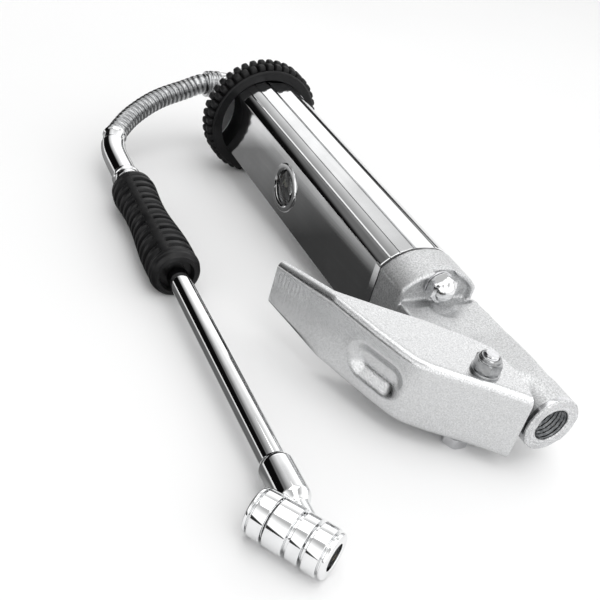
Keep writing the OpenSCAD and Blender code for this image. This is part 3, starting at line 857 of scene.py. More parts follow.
@dataclass
class Studio:
    """Camera, floor, lights and surroundings."""

    eye: tuple[float, float, float] = (-161.92, 211.4, 166.47)
    right: tuple[float, float, float] = (-0.42616, -0.87752, 0.21989)
    down: tuple[float, float, float] = (-0.54369, 0.05416, -0.83754)
    ahead: tuple[float, float, float] = (0.72305, -0.47648, -0.50017)
    lens: float = 57.0
    sky: float = 0.4
    level: float = 1.42
    backdrop: float = 0.93

    def camera(self) -> None:
        """Stand the camera where the view is taken from."""
        data = bpy.data.cameras.new("camera")
        data.lens = self.lens
        data.sensor_width = 36.0
        data.clip_start = 0.01
        cam = bpy.data.objects.new("camera", data)
        bpy.context.scene.collection.objects.link(cam)
        m = Matrix.Identity(4)
        columns = (np.array(self.right), -np.array(self.down), -np.array(self.ahead),
                   np.array(self.eye) * MM)
        for k, column in enumerate(columns):
            for row in range(3):
                m[row][k] = float(column[row])
        cam.matrix_world = m
        bpy.context.scene.camera = cam

    def build(self) -> None:
        """Make the floor, the lights and the surroundings."""
        scene = bpy.context.scene
        scene.view_settings.view_transform = "Standard"
        self._floor()
        self._world()
        self._lamp("overhead", (0.12, 0.0, 1.3), (0.08, 0.05, 0.0), 1.2, 6.0)
        self._lamp("behind", (-0.55, 0.1, 0.9), (0.1, 0.03, 0.0), 0.5, 1.2)

    def _lamp(self, name: str, at: tuple[float, float, float], to: tuple[float, float, float], size: float,
              power: float) -> None:
        """Set up a square soft box that looks at a point.

        Args:
            name: the lamp's name.
            at: where it stands, in metres.
            to: the point that it looks at, in metres.
            size: its side, in metres.
            power: its power in watts.
        """
        data = bpy.data.lights.new(name, "AREA")
        data.shape = "SQUARE"
        data.size = size
        data.energy = power
        lamp = bpy.data.objects.new(name, data)
        bpy.context.scene.collection.objects.link(lamp)
        lamp.location = at
        way = Matrix.Identity(3).col[0].copy()
        way[:] = [b - a for a, b in zip(at, to)]
        lamp.rotation_euler = way.to_track_quat("-Z", "Y").to_euler()

    def _floor(self) -> None:
        """A wide pale floor at the bench's height, with two patches that are dark in mirror images only.

        The camera and the lamps meet plain pale paper. Rays that leave a glossy surface find a dark patch
        beside the barrel and another beside the lance, so that the bright metal shows dark against the pale.
        """
        half = 6.0
        z = LAYOUT.bench * MM
        mesh = bpy.data.meshes.new("floor")
        mesh.from_pydata([(-half, -half, z), (half, -half, z), (half, half, z), (-half, half, z)], [],
                         [(0, 1, 2, 3)])
        floor = new_object("floor", mesh)
        mat = bpy.data.materials.new("floor")
        mat.use_nodes = True
        mat.node_tree.nodes.clear()
        n = Nodes(mat.node_tree)
        where = n.add("ShaderNodeTexCoord").outputs["Object"]
        tone = n.mix(n.ramp(n.noise(where, 3.0, 2.0), 0.3, 0.7), (0.86, 0.86, 0.86, 1),
                     (0.89, 0.89, 0.89, 1))
        paper = n.add("ShaderNodeBsdfPrincipled", Base_Color=tone, Roughness=0.7)
        part = n.add("ShaderNodeSeparateXYZ", Vector=where)
        near = n.math("MULTIPLY", n.ramp(part.outputs["Y"], 0.022, 0.034),
                      n.ramp(part.outputs["Y"], 0.078, 0.060))
        near = n.math("MULTIPLY", near,
                      n.math("MULTIPLY", n.ramp(part.outputs["X"], 0.060, 0.075),
                             n.ramp(part.outputs["X"], 0.28, 0.24)))
        beside = n.math("ADD", part.outputs["Y"], n.math("MULTIPLY", part.outputs["X"], 0.054))
        beside = n.math("MULTIPLY",
                        n.math("MULTIPLY", n.ramp(beside, 0.095, 0.099), n.ramp(beside, 0.17, 0.13)),
                        n.ramp(part.outputs["X"], -0.01, 0.02))
        near = n.math("MAXIMUM", near, n.math("MULTIPLY", beside, 0.9))
        glossy = n.add("ShaderNodeLightPath").outputs["Is Glossy Ray"]
        gloom = n.add("ShaderNodeEmission", Color=(1, 1, 1, 1),
                      Strength=n.ramp(part.outputs["X"], 0.15, 0.22, 0.05, 0.2))
        blend = n.add("ShaderNodeMixShader", Fac=n.math("MULTIPLY", near, glossy), i1=paper.outputs[0],
                      i2=gloom.outputs[0])
        n.add("ShaderNodeOutputMaterial", Surface=blend.outputs[0])
        mesh.materials.append(mat)

    def _world(self) -> None:
        """Surroundings: a pale sky, dark below the horizon, dimmer overhead, with two dark places.

        The dark below the horizon rises towards one side, and a dark card stands above it. The camera itself
        sees an even pale backdrop instead.
        """
        world = bpy.data.worlds.new("studio")
        bpy.context.scene.world = world
        world.use_nodes = True
        world.node_tree.nodes.clear()
        n = Nodes(world.node_tree)
        way = n.add("ShaderNodeTexCoord").outputs["Generated"]
        part = n.add("ShaderNodeSeparateXYZ", Vector=way)
        toward = n.math("MAXIMUM", self._facing(n, way, (0.85, 0.53, 0.0)), 0.0)
        edge = n.math("SUBTRACT", part.outputs["Z"], n.math("MULTIPLY", toward, 0.6))
        level = n.ramp(edge, -0.02, 0.05, 0.03, self.level)
        level = n.math("MULTIPLY", level, n.ramp(part.outputs["Z"], 0.6, 0.85, 1.0, self.sky))
        level = n.math("MULTIPLY", level,
                       n.ramp(self._facing(n, way, (0.70, 0.60, 0.38)), 0.75, 0.95, 1.0, 0.12))
        seen = n.add("ShaderNodeLightPath").outputs["Is Camera Ray"]
        level = n.math("ADD", n.math("MULTIPLY", level, n.math("SUBTRACT", 1.0, seen)),
                       n.math("MULTIPLY", seen, self.backdrop))
        back = n.add("ShaderNodeBackground", Color=(1, 1, 1, 1), Strength=level)
        n.add("ShaderNodeOutputWorld", Surface=back.outputs[0])

    def _facing(self, n: Nodes, way: bpy.types.NodeSocket,
                to: tuple[float, float, float]) -> bpy.types.NodeSocket:
        """How nearly a direction points to another: the product of the two, added up over X, Y and Z.

        Args:
            n: the helper on the tree.
            way: the direction looked in.
            to: the other direction.

        Returns:
            The sum's output.
        """
        node = n.add("ShaderNodeVectorMath", i0=way, i1=to)
        node.operation = "DOT_PRODUCT"
        return node.outputs["Value"]


# ---------------------------------------------------------------- hose


@dataclass
class Hose:
    """The armoured hose between the elbow and the lance, with its ferrule and the bright bend."""

    radius: float = 4.7
    turns: int = 26
    points: list[tuple[float, float, float]] = field(default_factory=lambda: [
        (249.4, 36, 9.6), (243.4, 52, 6), (233, 67, 1.4), (221, 77.5, -2.4)])
    bend_points: list[tuple[float, float, float]] = field(default_factory=lambda: [
        (221, 77.5, -2.4), (215, 79.9, -3.9), (206, 81.6, -5.2)])

    def route(self) -> Array:
        """The hose's centreline in the resting axes, the same curve as its solid's."""
        start = (LAYOUT.tool @ np.array([LAYOUT.elbow_x, 19, LAYOUT.axis_z, 1.0]))[:3]
        return curve_through(np.array([start, start + (0, 8, 0), *self.points]), 21)

    def bend_route(self) -> Array:
        """The bright bend's centreline in the resting axes, the same curve as its solid's."""
        far = (LAYOUT.lance @ np.array([192, 0, 0, 1.0]))[:3]
        return curve_through(np.array([*self.bend_points, far]), 13)

    def build(self, shop: Workshop) -> None:
        """Make the armour, the ferrule and the bend.

        The armour's radius is its full radius less a narrow groove between turns that climbs round it by one
        turn a revolution: depth x (2 |fraction - 1/2|)^5.

        Args:
            shop: where pieces are dressed.
        """
        coarse = self.route()
        run = length_of(coarse)
        rows, sides = 12 * self.turns, 44
        at = np.linspace(0, run[-1], rows)
        path = np.stack([np.interp(at, run, coarse[:, k]) for k in range(3)], 1)
        kernel = np.ones(9) / 9
        soft = np.stack([np.convolve(np.pad(path[:, k], 4, "edge"), kernel, "valid") for k in range(3)], 1)
        soft[:5], soft[-5:] = path[:5], path[-5:]
        climb = at[:, None] / run[-1] * self.turns - np.arange(sides)[None, :] / sides
        seam = np.abs(2 * (climb % 1.0) - 1)
        radius = self.radius - 1.4 * seam**5
        hose = solid("hose_armour", swept(soft, radius, sides, np.array([0, 1.0, 0])), np.eye(4), angle=60)
        shop.add(hose, ARMOUR, "tool", "hose")
        bend = curve_through(self.bend_route(), 60)
        swell = 5.3 - 0.5 * smooth_step((length_of(bend) - 1.2)
                                        / 1.2) * smooth_step((8.0 - length_of(bend)) / 1.0)
        swell[:3] -= np.array([0.5, 0.25, 0.1])
        tube = solid("lance_bend_tube", swept(bend, swell, 64), np.eye(4), angle=50)
        shop.add(tube, CHROME, "tool", "lance_bend")
        place = LAYOUT.tool @ stood(Axis.Y, LAYOUT.elbow_x, 18.4, LAYOUT.axis_z)
        crimp = turned("ferrule",
                       [(0, 3.0), (0, 6.4), (1.8, 6.4), (2.2, 5.9), (2.9, 5.9), (3.3, 6.4), (4.6, 6.4),
                        (5.0, 5.9),
                                   (5.6, 5.9), (6.0, 6.3), (7, 6.0), (7, 4.8), (0.6, 4.8), (0.6, 3.0)],
                       place, 0.25)
        shop.add(crimp, ARMOUR, "tool", "hose_ferrule")


# ---------------------------------------------------------------- valve


@dataclass
class ValveBlock:
    """The cast body, its inlet thread and the bright domed nuts in its pockets."""

    voxel: float = 0.00045
    passes: int = 14
    thread_pitch: float = 1.34
    thread_r: float = 6.18
    thread_depth: float = 0.62
    sleeve_r: float = 6.5
    nut_x: float = 54.5
    nut_across: float = 10.0
    dome_r: float = 4.3
    ring_x: float = 61.5

    def build(self, shop: Workshop) -> None:
        """Make the casting, the thread and the nuts.

        Args:
            shop: where pieces are dressed.
        """
        shop.add(self._casting(shop), CAST, "tool", "valve_body")
        # The thread's near-black finish is painted shade of the inlet's bore.
        shop.add(self._thread(), THREAD_PAINTED_SHADE, "tool")
        shop.add(self._lip(), STEEL, "tool")
        nuts = [self._domed_nut(side) for side in (1, -1)]
        shop.add(joined("acorn_nuts", nuts), CHROME, "tool", "domed_nuts")
        rings = [turned("ring", [(0, 2.6), (0, 5.6), (0.9, 5.6), (0.9, 2.6)],
                        LAYOUT.barrel(self.ring_x) @ moved(0, 0, side * LAYOUT.rod_gap), 0.25)
                 for side in (1, -1)]
        shop.add(joined("nut_rings", rings), STEEL, "tool", "rod_washers")

    def _casting(self, shop: Workshop) -> bpy.types.Object:
        """The body's solid with its edges melted as in a casting, its machined faces kept.

        Every free point moves halfway to the mean of its neighbours, several times over. Points on the
        inlet's face and bore, on the pivot's lug and at the joint with the barrel move about an eighth
        as far.

        Args:
            shop: where the frame's nodes are kept.

        Returns:
            The new object.
        """
        mesh = shop.nodes["valve_body"].data.copy()
        tidied(mesh, 5e-6, turn=False)
        obj = new_object("valve_casting", mesh)
        skin = obj.modifiers.new("skin", "REMESH")
        skin.mode = "VOXEL"
        skin.voxel_size = self.voxel
        settle(obj)
        mesh = obj.data
        count = len(mesh.vertices)
        co = np.empty(count * 3)
        mesh.vertices.foreach_get("co", co)
        co = co.reshape(-1, 3)
        ends = np.empty(len(mesh.edges) * 2, int)
        mesh.edges.foreach_get("vertices", ends)
        a, b = ends.reshape(-1, 2).T
        tool = (co / MM) @ LAYOUT.tool[:3, :3]
        free = self._freedom(tool)[:, None]
        near = np.bincount(a, minlength=count) + np.bincount(b, minlength=count)
        for _ in range(self.passes):
            total = np.stack([np.bincount(a, co[b, k], count) + np.bincount(b, co[a, k], count)
                              for k in range(3)], 1)
            co += 0.5 * free * (total / near[:, None] - co)
        mesh.vertices.foreach_set("co", co.ravel())
        mesh.update()
        return crisp(obj, 50)

    def _freedom(self, tool: Array) -> Array:
        """How freely each point of the casting may move: 0.12 on machined faces and 1 elsewhere.

        Args:
            tool: the points in the tool's own axes, in millimetres.

        Returns:
            A share for each point.
        """
        x, y, z = tool.T
        pivot_x, pivot_y = LAYOUT.pivot
        bore = np.hypot(y, z)
        lug = np.hypot(x - pivot_x, y - pivot_y)
        kept = (x < 0.9) | ((x < 13) & (bore < 7.4)) | (x > 74.6) | (lug < 5.4)
        return np.where(kept, 0.12, 1.0)

    def _thread(self) -> bpy.types.Object:
        """The inlet's thread: a thin sleeve whose inner radius falls by a rounded ridge at each turn.

        Returns:
            The new object.
        """
        rows, sides = 150, 72
        length = np.linspace(0.5, 13.6, rows)
        angle = np.arange(sides) * FULL / sides
        turn = (length[:, None] / self.thread_pitch + angle[None, :] / FULL) % 1.0
        ridge = 1 - np.abs(2 * turn - 1)
        inner = self.thread_r - self.thread_depth * ridge * smooth_step((length[:, None] - 0.5) / 1.2)
        inner_grid = np.stack([np.repeat(length[:, None], sides, 1), inner * np.cos(angle),
                               inner * np.sin(angle)], -1)
        outer = np.stack([np.repeat(length[[-1, 0], None], sides, 1),
                          self.sleeve_r * np.repeat(np.cos(angle)[None], 2, 0),
                          self.sleeve_r * np.repeat(np.sin(angle)[None], 2, 0)], -1)
        return solid("inlet_thread", np.concatenate([inner_grid, outer]), LAYOUT.tool, True, 60)

    def _lip(self) -> bpy.types.Object:
        """The inlet's machined face, with its chamfers.

        Returns:
            The new object.
        """
        return turned("inlet_lip",
                      [(0.9, 6.25), (0.0, 7.1), (0.0, 9.5), (0.9, 10.27), (2.4, 10.27), (2.4, 6.25)],
                      LAYOUT.tool, 0.15)

    def _domed_nut(self, side: int) -> bpy.types.Object:
        """A domed nut: a ball's cap that runs into a hexagon with a chamfered shoulder.

        Args:
            side: 1 for the upper pocket and -1 for the lower.

        Returns:
            The new object.
        """
        length = np.concatenate([[0], np.linspace(0.02, 1, 12) ** 2 * 3.2, np.linspace(3.25, 6.8, 16),
                                 [6.8]])
        fall = self.dome_r - np.minimum(length, self.dome_r)
        dome = np.sqrt(np.clip(self.dome_r**2 - fall**2, 0, None))
        dome[0] = dome[-1] = 0.0

        def shape(s: Array, angle: Array, radius: Array) -> Array:
            """The larger of the dome and the hexagon, the hexagon held under its chamfer's cone.

            Args:
                s: the lengths along the piece.
                angle: the angles round it.
                radius: the profile's radii.

            Returns:
                The shaped radii.
            """
            flat = np.minimum(hexagon(self.nut_across, angle), 4.7 + (s - 3.0) * 1.5)
            flat = np.minimum(flat, 5.1 + (6.8 - s) * 1.6)
            return np.where((s > 3.1) & (radius > 0), np.maximum(np.minimum(radius, self.dome_r), flat),
                            radius)

        points = spun(np.stack([length, dome], 1), 96, shape)
        return solid("nut", points, LAYOUT.barrel(self.nut_x) @ moved(0, 0, side * LAYOUT.rod_gap),
                     angle=24)


# ---------------------------------------------------------------- lever


@dataclass
class Lever:
    """The pressed sheet lever on its pivot bolt, with nut and washers."""

    outer: list[tuple[float, float]] = field(default_factory=lambda: [
        (-0.4, 13.4), (8.3, 24.2), (15, 34.2), (20.6, 41.4), (23.6, 43.8), (29, 46.2), (40, 50.2),
        (56.6, 55.6), (82.9, 62.8)])
    inner: list[tuple[float, float]] = field(default_factory=lambda: [
        (7, 11.4), (16, 10.9), (25, 11.6), (31, 16.8), (36, 22.3), (41.5, 28.3), (49, 38.8), (60, 53.0),
        (83.7, 60.2)])
    sheet: float = 1.6
    bend: float = 2.8
    half: float = 12.5
    dent: float = 2.9
    bulge: float = 0.25
    rib: float = 0.16
    rib_pitch: float = 1.7
    nut_z: float = 13.4
    hex_across: float = 8.0

    def build(self, shop: Workshop) -> None:
        """Make the lever, the bolt, the nut and the washers.

        Args:
            shop: where pieces are dressed.
        """
        shop.add(self._sheet(), SHEET, "lever", "lever")
        top = self._at_pivot(self.nut_z)
        shop.add(self._nut(top), PLATED_NUT, "tool", "pivot_nut")
        shop.add(self._bolt(), STEEL, "tool", "pivot_bolt")
        profile = [(0, 2.55), (0, 4.9), (0.9, 4.9), (0.9, 2.55)]
        rings = [turned("ring", profile, self._at_pivot(z), 0.25) for z in (-self.nut_z, self.half)]
        inside = [(0, 2.55), (0, 5.0), (0.9, 5.0), (0.9, 2.55)]
        rings += [turned("ring", inside, self._at_pivot(z), 0.2) for z in (self.sheet - self.half, 10.0)]
        shop.add(joined("pivot_rings", rings), PLATED_NUT, "tool", "pivot_washers")

    def _at_pivot(self, z: float) -> Array:
        """From a piece turned on the pivot's axis, starting at a height, to the resting axes."""
        return LAYOUT.tool @ stood(Axis.Z, *LAYOUT.pivot, z)

    def _sheet(self) -> bpy.types.Object:
        """The lever's sheet.

        At each station along the plan the section runs from one flange's edge, round a bend of a small
        radius, up the web and back along the other flange. The web is pressed inwards over a rounded slot
        where it works the spindle, and carries shallow ribs near the tip.

        Returns:
            The new object.
        """
        stations = 240
        w, e = np.array(self.outer), np.array(self.inner)
        run = length_of(w)
        s = np.linspace(0, run[-1], stations)
        web = np.stack([np.interp(s, run, w[:, k]) for k in (0, 1)], 1)
        edge = np.stack([np.interp(s, run, e[:, k]) for k in (0, 1)], 1)
        kernel = np.hanning(15)[1:-1] / np.hanning(15).sum()
        web = self._eased(web, kernel)
        edge = self._eased(edge, kernel)
        half = self.half - np.clip(web[:, 0] - 56, 0, None) * 4.8 / 34
        inward = edge - web
        wide = np.linalg.norm(inward, axis=1)
        inward /= wide[:, None]
        bend = np.minimum(self.bend, wide * 0.8)
        along = np.gradient(web, axis=0)
        along /= np.linalg.norm(along, axis=1, keepdims=True)
        back = np.stack([along[:, 1], -along[:, 0]], 1)

        flange = np.linspace(0, 1, 22)
        arc = np.linspace(0, math.pi / 2, 10)[1:]
        rise = np.linspace(1, -1, 60)[1:-1]
        depth_in = np.concatenate([np.outer(wide, 1 - flange) + np.outer(bend, flange),
                                   np.outer(bend, 1 - np.sin(arc))], 1)
        height = np.concatenate([np.repeat(half[:, None], 22, 1),
                                 (half - bend)[:, None] + np.outer(bend, np.cos(arc))], 1)
        upright = np.outer(half - bend, rise)
        depth = np.concatenate([depth_in, np.zeros_like(upright), depth_in[:, ::-1]], 1)
        z = np.concatenate([height, upright, -height[:, ::-1]], 1)
        xy = web[:, None] + inward[:, None] * depth[:, :, None]
        start = run[5] + 5.3
        slot = np.hypot(np.clip(np.abs(s - start) - 5.0, 0, None)[:, None], z)
        flat = smooth_step((half[:, None] - 1.0 - np.abs(z)) / 3.0) * (depth < 0.01)
        dent = self.dent * (1 - smooth_step((slot - 1.2) / 6.2)) * (1 - smooth_step((depth - 0.01) / 0.2))
        bulge = self.bulge * np.exp(-((slot - 7.0) / 2.2) ** 2) * flat
        ribs = self.rib * (0.5 + 0.5 * np.cos((s - run[-1]) * FULL / self.rib_pitch))[:, None]
        ribs = ribs * flat * (smooth_step((s - run[-1] + 19) / 2)
                              * smooth_step((run[-1] - 1.0 - s) / 1))[:, None]
        xy = xy + back[:, None] * (dent + ribs - bulge)[:, :, None]
        points = np.concatenate([xy, z[:, :, None]], 2)

        mesh = bpy.data.meshes.new("lever_sheet")
        faces = grid_faces(points.shape[0], points.shape[1], False, False)
        mesh.from_pydata(applied(points, LAYOUT.tool).tolist(), [], faces.tolist())
        tidied(mesh)
        obj = new_object("lever_sheet", mesh)
        self._face_outwards(obj)
        thick = obj.modifiers.new("sheet", "SOLIDIFY")
        thick.thickness = self.sheet * MM
        thick.offset = -1.0
        settle(obj)
        hole = turned("hole", [(-20, 0), (-20, 2.6), (20, 2.6), (20, 0)], self._at_pivot(0), 0.01, 48,
                      False)
        carved(obj, hole)
        return crisp(obj, 40)

    def _eased(self, line: Array, kernel: Array) -> Array:
        """A line with its corners eased: each point becomes a weighted mean of its neighbours, ends kept.

        Args:
            line: the line's points.
            kernel: the neighbours' weights.

        Returns:
            The eased points.
        """
        pad = len(kernel) // 2
        head = 2 * line[0] - line[1 : pad + 1][::-1]
        tail = 2 * line[-1] - line[-pad - 1 : -1][::-1]
        long = np.concatenate([head, line, tail])
        return np.stack([np.convolve(long[:, k], kernel / kernel.sum(), "valid") for k in (0, 1)], 1)

    def _face_outwards(self, obj: bpy.types.Object) -> None:
        """Turn the open sheet's faces so that they look away from its middle.

        Args:
            obj: the open sheet.
        """
        mesh = obj.data
        mesh.update()
        centre, normal = np.empty(len(mesh.polygons) * 3), np.empty(len(mesh.polygons) * 3)
        mesh.polygons.foreach_get("center", centre)
        mesh.polygons.foreach_get("normal", normal)
        centre, normal = centre.reshape(-1, 3), normal.reshape(-1, 3)
        middle = np.array([0.03, 0.02, 0.0])
        if ((centre - middle) * normal).sum() < 0:
            mesh.flip_normals()

    def _nut(self, place: Array) -> bpy.types.Object:
        """A locking nut: a chamfered hexagon with a turned collar that folds in over its ring.

        Args:
            place: 4x4 matrix into the resting axes.

        Returns:
            The new object.
        """
        profile = rounded([(0, 2.5), (0, 4.8), (3.7, 4.8), (3.85, 3.6), (4.8, 3.55), (5.2, 3.1),
                           (5.2, 2.65), (4.6, 2.5)], 0.2)
        dense = np.concatenate([np.linspace(p, q, 6, endpoint=False) for p,
                                q in zip(profile, np.roll(profile, -1, 0))])

        def shape(s: Array, angle: Array, radius: Array) -> Array:
            """The profile's radius, held inside the hexagon and its chamfers.

            Args:
                s: the lengths along the piece.
                angle: the angles round it.
                radius: the profile's radii.

            Returns:
                The shaped radii.
            """
            flat = np.minimum(hexagon(self.hex_across, angle),
                              np.minimum(4.1 + s * 1.4, 4.1 + (3.8 - s) * 1.7))
            return np.where((radius > 3.62) & (s < 3.85), np.minimum(radius, flat), radius)

        return solid("lock_nut", spun(dense, 120, shape), place, True, 26)

    def _bolt(self) -> bpy.types.Object:
        """The pivot bolt: a chamfered hexagon head, a plain shank and a threaded end.

        Returns:
            The new object.
        """
        length = np.concatenate([[0], np.linspace(0, 4.2, 14), [4.2], np.linspace(4.25, 31.4, 4),
                                 np.linspace(31.5, 36.7, 60), [37.1, 37.2]])
        radius = np.concatenate([[0], np.full(14, 4.7), [2.5], np.full(4, 2.5), np.full(60, 2.48),
                                 [2.1, 0]])

        def shape(s: Array, angle: Array, base: Array) -> Array:
            """Hexagon for the head, and a ridge a turn at the threaded end.

            Args:
                s: the lengths along the piece.
                angle: the angles round it.
                base: the profile's radii.

            Returns:
                The shaped radii.
            """
            head = np.minimum(hexagon(self.hex_across, angle),
                              np.minimum(3.8 + s * 1.7, 4.3 + (4.2 - s) * 1.7))
            ridge = 0.3 * np.abs(2 * ((s / 0.8 - angle / FULL) % 1.0) - 1) * (s > 31.45) * (s < 36.8)
            return np.where(base > 3, np.minimum(base, head), np.where(base > 0, base - ridge, 0))

        return solid("pivot_screw", spun(np.stack([length, radius], 1), 72, shape),
                     self._at_pivot(LAYOUT.foot_z), angle=26)


# ---------------------------------------------------------------- barrel


@dataclass
class GaugeBarrel:
    """The extruded barrel, its bezel, scale, end cap, guard and elbow."""

    knobs: int = 40
    wall: float = 2.4
    window_r: float = 10.0
    guard_len: float = 11.0
    guard_lap: float = 10.5
    guard_root: float = 24.3
    knob_high: float = 2.9
    elbow_r: float = 5.95
    elbow_hex: float = 15.0
    drum_r: float = 10.62
    mark_step: float = 2.5
    last_mark: int = 12
    limit_mark: int = 10

    def build(self, shop: Workshop) -> None:
        """Make the barrel and what it carries.

        Args:
            shop: where pieces are dressed.
        """
        shop.add(self._tube(), ALLOY, "tool", "gauge_barrel")
        shop.add(self._bezel(), PLATE, "tool", "lens_bezel")
        glass = [(0, 0), (0, 8.15), (1.3, 8.15), (1.6, 6.8), (2.0, 4.5), (2.25, 2.5), (2.35, 0)]
        lens = turned("clear_lens", glass, LAYOUT.tool @ stood(Axis.Y, LAYOUT.lens_x, 23.8, LAYOUT.axis_z),
                      0.2, 96, False)
        shop.add(lens, LENS, "tool", "lens").visible_shadow = False
        shop.add(self._guard(), RUBBER, "tool", "rubber_guard")
        shop.add(self._cap(), CAP_CAST, "tool", "end_cap")
        shop.add(self._elbow(), PLATE, "tool", "hose_elbow")
        self._print(shop)

    def _outline(self, angle: Array) -> Array:
        """The barrel's radius at an angle from the lever's side towards the top.

        The round is cut by two flats; above and below it carries a facet between 63 and 79 degrees, a groove
        at 79, a flat land to 104 with a finer groove, and one fine ridge at 52.

        Args:
            angle: the directions from the barrel's axis, in radians.

        Returns:
            The radii.
        """
        deg = np.degrees(np.abs((angle + math.pi) % FULL - math.pi))
        base = LAYOUT.barrel_r
        facet = base * math.cos(math.radians(8)) / np.cos(np.radians(deg - 71))
        land = base * math.cos(math.radians(12.5)) / np.cos(np.radians(deg - 91.5))
        r = np.where((deg > 63) & (deg < 79), facet, base)
        r = np.where((deg >= 79) & (deg < 104), land, r)
        r -= 0.9 * np.clip(1 - (np.abs(deg - 79) / 1.5) ** 4, 0, 1)
        r -= 0.45 * np.clip(1 - (np.abs(deg - 104) / 1.0) ** 2, 0, 1)
        r -= 0.35 * np.clip(1 - (np.abs(deg - 63) / 0.9) ** 2, 0, 1)
        r += 0.22 * np.clip(1 - np.abs(deg - 52) / 0.8, 0, 1)
        return np.minimum(r, LAYOUT.flat_half / np.maximum(np.abs(np.cos(angle)), 1e-3))

    def _tube(self) -> bpy.types.Object:
        """The barrel: its outline carried along its length, with a bevel at the near end of the flat on the
        lever's side.

        Returns:
            The new object.
        """
        sides = 1080
        angle = np.arange(sides) * FULL / sides
        outer = self._outline(angle)
        wall = np.minimum(LAYOUT.barrel_r - self.wall,
                          (LAYOUT.flat_half - self.wall) / np.maximum(np.abs(np.cos(angle)), 1e-3))
        flat = smooth_step((np.abs(np.cos(angle)) - 0.76) / 0.03) * np.sign(np.cos(angle)).clip(0)
        near, end = LAYOUT.barrel_x, LAYOUT.barrel_end
        rows = [(near, wall), (near, outer - 0.25 - 0.9 * flat), (near + 0.25, outer - 0.8 * flat),
                (near + 2.4, outer - 0.02 * flat),
                (near + 2.6, outer), (end - 0.3, outer), (end, outer - 0.3), (end, wall)]
        points = np.stack([np.stack([np.full(sides, x), r * np.cos(angle), r * np.sin(angle)], -1) for x,
                           r in rows])
        obj = solid("barrel_tube", points, LAYOUT.barrel(0), True, 18)
        window = turned("window", [(0, 0), (0, self.window_r), (10, self.window_r), (10, 0)],
                        LAYOUT.tool @ stood(Axis.Y, LAYOUT.lens_x, 21.2, LAYOUT.axis_z), 0.01, 96, False)
        return crisp(carved(obj, window), 18)

    def _bezel(self) -> bpy.types.Object:
        """The lens's ring, standing a little proud of the flat.

        Returns:
            The new object.
        """
        place = LAYOUT.tool @ stood(Axis.Y, LAYOUT.lens_x, 23.6, LAYOUT.axis_z)
        return turned("bezel_ring",
                      [(0, 8.3), (0, 9.95), (2.62, 9.95), (2.62, 10.4), (3.3, 9.9), (3.3, 8.2), (2.75, 7.4),
                       (2.62, 7.4),
                                     (2.62, 8.3)], place, 0.18)

    def _guard(self) -> bpy.types.Object:
        """The rubber guard: two rows of rounded blocks, the second turned by half a pitch.

        A block's height is H (1 - |u|^4 - |v|^4)^(1/3), where u and v run from -1 to 1 across it, round the
        ring and along it.

        Returns:
            The new object.
        """
        per, rows = 16, 64
        sides = per * self.knobs
        length = np.linspace(0.0, self.guard_len, rows)
        angle = np.arange(sides)[None, :] * FULL / sides
        s = length[:, None]
        pitch = FULL / self.knobs

        def blocks(middle: float, phase: float) -> Array:
            """Height of one row of blocks.

            Args:
                middle: the row's middle along the ring.
                phase: how far the row is turned, in blocks.

            Returns:
                The heights.
            """
            u = (((angle / pitch + phase) % 1.0) - 0.5) / 0.41
            v = (s - middle) / 2.25
            return np.clip(1 - np.abs(u) ** 4 - np.abs(v) ** 4, 0, None) ** (1 / 3)

        height = np.maximum(blocks(3.95, 0.0), blocks(8.55, 0.5))
        lip = 1.1 * smooth_step((1.5 - s) / 0.5)
        radius = self.guard_root + np.maximum(self.knob_high * height, lip)
        radius = radius - 0.5 * smooth_step((0.5 - s) / 0.5) - 0.5 * smooth_step((s - 10.5) / 0.5)
        radius = np.minimum(radius, LAYOUT.guard_r - 0.02)
        outer = np.stack([np.broadcast_to(s, radius.shape), radius * np.cos(angle), radius * np.sin(angle)],
                         -1)
        inner_profile = np.array([(self.guard_len, 21.9), (10.8, 20.9), (5.5, 20.9), (0.4, 20.9),
                                  (0.0, 21.4)])
        inner = spun(inner_profile, sides)
        return solid("guard_ring", np.concatenate([outer, inner]),
                     LAYOUT.barrel(LAYOUT.barrel_end - self.guard_lap), True, 45)

    def _cap(self) -> bpy.types.Object:
        """The end cap, stepped behind the guard.

        Returns:
            The new object.
        """
        corners = [(1, 5.0), (1, 21.55), (6.2, 21.55), (7.0, 20.6), (8.6, 19.2), (10.4, 18.8), (11, 17.8),
                   (11, 9.5), (10.2, 9.0), (10.2, 6.3),
                   (2, 6.2), (2, 5.0)]
        return turned("cap_casting", corners, LAYOUT.barrel(LAYOUT.barrel_end), 0.7, 128)

    def _elbow(self) -> bpy.types.Object:
        """The elbow: a swept round bar with a chamfered hexagon at its root.

        Returns:
            The new object.
        """
        start = LAYOUT.barrel_end + 3
        path = np.array([(start, 0, 0), (236, 0, 0), (244.5, 0, 0), (248.6, 1.0, 0), (250.4, 3.2, 0),
                         (LAYOUT.elbow_x, 6.2, 0), (LAYOUT.elbow_x, 8.5, 0)], float)
        path[:, 1] += LAYOUT.axis_y
        path[:, 2] += LAYOUT.axis_z
        bar = solid("bar", swept(curve_through(path, 80), np.full(80, self.elbow_r), 56), LAYOUT.tool,
                    angle=50)
        length = np.concatenate([[0], np.linspace(0, 7, 20), [7]])
        radius = np.concatenate([[0], np.full(20, 9.0), [0]])

        def shape(s: Array, angle: Array, base: Array) -> Array:
            """A hexagon under a chamfer's cone at each face.

            Args:
                s: the lengths along the piece.
                angle: the angles round it.
                base: the profile's radii.

            Returns:
                The shaped radii.
            """
            flat = np.minimum(hexagon(self.elbow_hex, angle),
                              np.minimum(7.4 + s * 1.7, 7.4 + (7 - s) * 1.7))
            return np.where(base > 0, np.minimum(base, flat), 0)

        root = solid("root", spun(np.stack([length, radius], 1), 96, shape),
                     LAYOUT.barrel(LAYOUT.barrel_end + 11), angle=26)
        return joined("elbow_bar", [bar, root])

